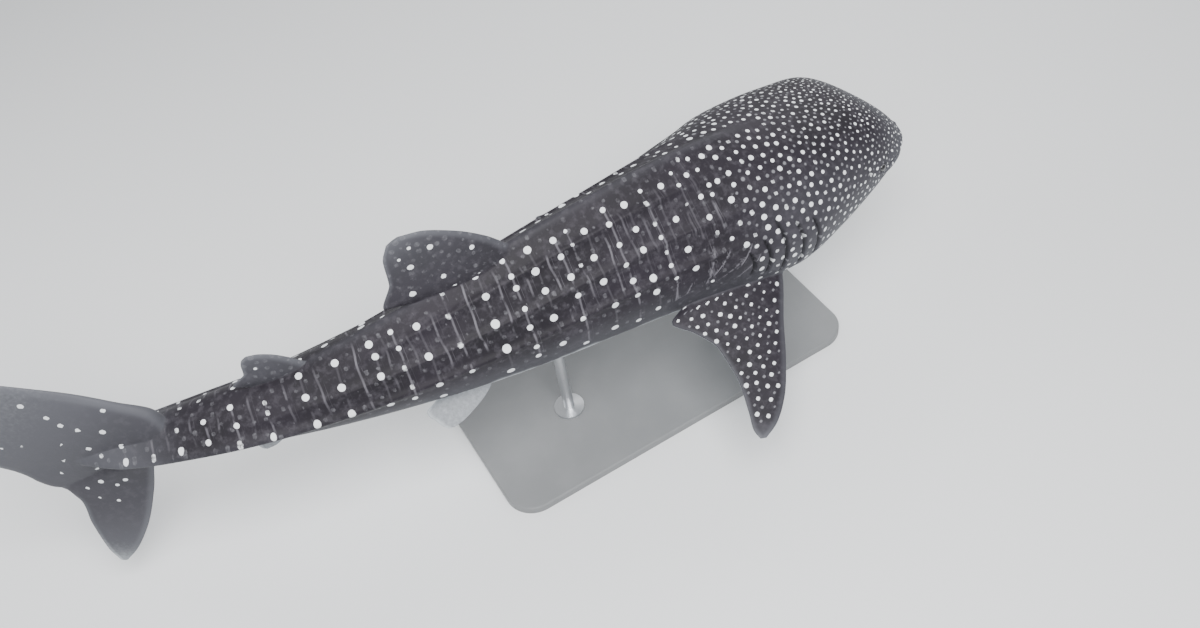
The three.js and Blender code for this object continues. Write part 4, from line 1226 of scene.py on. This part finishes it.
def skin_material():
    nodes = Nodes("shark_skin")
    finish = SKIN_FINISH
    patches = nodes.noise(*finish["patches"])
    clouds = nodes.step(nodes.noise(*finish["clouds"]), *finish["cloud_edge"])
    colour = nodes.mix(clouds, GROUND, GROUND_DEEP)
    patchy = nodes.times(nodes.step(patches, *finish["patch_edge"]), finish["patch_share"])
    colour = nodes.mix(patchy, colour, MOTTLE)
    colour = nodes.mix(nodes.look("tone"), colour, GREY)
    centred = nodes.maths("SUBTRACT", nodes.noise(*finish["wobble"]), 0.5)
    wobble = nodes.times(centred, finish["spot_wobble"])
    colour = nodes.mix(bar_share(nodes, wobble), colour, BAR)
    faint = nodes.step(nodes.plus(nodes.look("faint"), wobble), *finish["faint_edge"])
    colour = nodes.mix(nodes.times(faint, finish["faint_share"]), colour, DIM_SPOT)
    edge = nodes.plus(nodes.look("belly"), nodes.times(wobble, finish["belly_wobble"]))
    colour = nodes.mix(nodes.step(edge, *finish["belly_edge"]), colour, BELLY)
    spots = nodes.step(nodes.plus(nodes.look("spots"), wobble), *finish["spot_edge"])
    colour = nodes.mix(nodes.times(spots, finish["spot_share"]), colour, WHITE)
    # Painted shade darkens the gill slits and the line of the mouth.
    nodes.shade("Base Color", nodes.mix(nodes.look("dark"), colour, SLIT_SHADE))
    nodes.roughen(patches, *finish["roughness"])
    grain = nodes.times(nodes.noise(*finish["grain"]), finish["grain_share"])
    height = nodes.plus(grain, nodes.times(patches, finish["patch_relief"]))
    nodes.raise_by(height, *finish["relief"])
    nodes.shade("Specular IOR Level", finish["specular"])
    return nodes.material


def eye_material():
    nodes = Nodes("eye")
    nodes.shade("Roughness", EYE_FINISH["roughness"])
    nodes.shade("Coat Weight", 1.0)
    pupil = nodes.look("pupil")
    flecks = nodes.step(nodes.noise(*EYE_FINISH["flecks"]), *EYE_FINISH["fleck_edge"])
    iris = nodes.mix(flecks, IRIS, IRIS_FLECK)
    rimmed = nodes.mix(nodes.step(pupil, *EYE_FINISH["rim_edge"]), iris, IRIS_RIM)
    nodes.shade("Base Color", nodes.mix(nodes.step(pupil, *EYE_FINISH["pupil_edge"]), PUPIL, rimmed))
    return nodes.material


def base_material():
    nodes = Nodes("stand_paint")
    worn = nodes.step(nodes.noise(*PAINT_FINISH["wear"]), *PAINT_FINISH["wear_edge"])
    nodes.shade("Base Color", nodes.mix(worn, PAINT, PAINT_WORN))
    nodes.roughen(worn, *PAINT_FINISH["roughness"])
    nodes.raise_by(nodes.noise(*PAINT_FINISH["grain"]), *PAINT_FINISH["relief"])
    return nodes.material


def rod_material():
    nodes = Nodes("brushed_steel")
    nodes.shade("Metallic", 1.0)
    lines = nodes.noise(*STEEL_FINISH["brush"], STEEL_FINISH["stretch"])
    nodes.shade("Base Color", nodes.mix(lines, STEEL, STEEL_PALE))
    nodes.roughen(lines, *STEEL_FINISH["roughness"])
    nodes.raise_by(lines, *STEEL_FINISH["relief"])
    return nodes.material


def floor_material():
    nodes = Nodes("studio_floor")
    nodes.shade("Base Color", FLOOR)
    nodes.shade("Roughness", FLOOR_ROUGHNESS)
    return nodes.material


# Eyes, stand and stage.

def make_eye(name, hand, material):
    """An eyeball that looks out to the side, with the distance from the pupil's middle as a look."""
    out = float(flank_at(EYE["station"], EYE["height"])) - EYE["sunk"]
    turn = np.linspace(0, 2 * math.pi, EYE_COLUMNS, endpoint=False)
    share = (np.arange(EYE_ROWS) + 0.5) / EYE_ROWS
    rings = np.array([
        np.stack([
            EYE["station"] + EYE["radius"] * math.sin(latitude) * np.cos(turn),
            hand * (out + EYE["radius"] * math.cos(latitude)) * np.ones(EYE_COLUMNS),
            EYE["height"] + EYE["radius"] * math.sin(latitude) * np.sin(turn),
        ], -1)
        for latitude in share * math.pi
    ])
    eye = loft(name, bend(rings), {key: np.zeros(rings.shape[:2]) for key in LOOKS})
    set_look(eye.data, "pupil", np.concatenate([np.repeat(share, EYE_COLUMNS), [0, 1]]))
    eye.data.shade_smooth()
    give(eye, material)
    return eye


def give(node, material):
    node.data.materials.clear()
    node.data.materials.append(material)


def make_floor():
    bpy.ops.mesh.primitive_plane_add(size=FLOOR_SIZE)
    floor = bpy.context.object
    floor.name = "floor"
    give(floor, floor_material())


def make_camera():
    azimuth, elevation, roll = (math.radians(CAMERA[key]) for key in ("azimuth", "elevation", "roll"))
    back = Vector((
        math.sin(azimuth) * math.cos(elevation),
        -math.cos(azimuth) * math.cos(elevation),
        math.sin(elevation),
    ))
    right = (-back).cross(Vector((0, 0, 1))).normalized()
    up = right.cross(-back)
    tilted_right = right * math.cos(roll) + up * math.sin(roll)
    tilted_up = up * math.cos(roll) - right * math.sin(roll)
    ahead_x, ahead_y = bend_flat(STRAIGHT_AHEAD, 0)
    target = Vector(CAMERA["target"]) + Vector((
        float(ahead_x - CENTRE[0]) + STRAIGHT_AHEAD,
        float(ahead_y - CENTRE[1]),
        0,
    ))
    place = (target + back * CAMERA["distance"]) * PERCENT + Vector((0, 0, AXIS_HEIGHT))
    data = bpy.data.cameras.new("camera")
    data.sensor_width = SENSOR_MM
    data.sensor_fit = "HORIZONTAL"
    data.lens = SENSOR_MM * CAMERA["focal_px"] / PHOTO_WIDTH
    data.clip_end = CLIP_END
    camera = bpy.data.objects.new("camera", data)
    bpy.context.scene.collection.objects.link(camera)
    turned = Matrix((tilted_right, tilted_up, back)).transposed().to_4x4()
    camera.matrix_world = Matrix.Translation(place) @ turned
    bpy.context.scene.camera = camera


def add_light(name, place, size, power):
    data = bpy.data.lights.new(name, "AREA")
    data.shape = "RECTANGLE"
    data.size = size
    data.size_y = size
    data.energy = power
    light = bpy.data.objects.new(name, data)
    light.location = place
    light.rotation_mode = "QUATERNION"
    light.rotation_quaternion = (Vector(LIGHT_TARGET) - Vector(place)).to_track_quat("-Z", "Y")
    bpy.context.scene.collection.objects.link(light)


def make_lights():
    world = bpy.data.worlds.new("studio")
    world.use_nodes = True
    world.node_tree.nodes["Background"].inputs["Color"].default_value = (*SKY, 1)
    world.node_tree.nodes["Background"].inputs["Strength"].default_value = SKY_STRENGTH
    bpy.context.scene.world = world
    for name, light in LIGHTS.items():
        add_light(name, light["place"], light["size"], light["power"])


def main():
    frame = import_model()
    skin = make_skin()
    give(skin, skin_material())
    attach(skin, "root")
    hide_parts(*SKIN_NODES)
    eye = eye_material()
    for name, hand in (("eye_left", 1), ("eye_right", -1)):
        ball = make_eye("ball_" + name, hand, eye)
        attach(ball, "root")
        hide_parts(name)
    give(frame["nodes"]["stand_base"], base_material())
    rod = rod_material()
    for name in ("stand_rod_front", "stand_rod_rear"):
        give(frame["nodes"][name], rod)
    make_floor()
    make_camera()
    make_lights()


main()
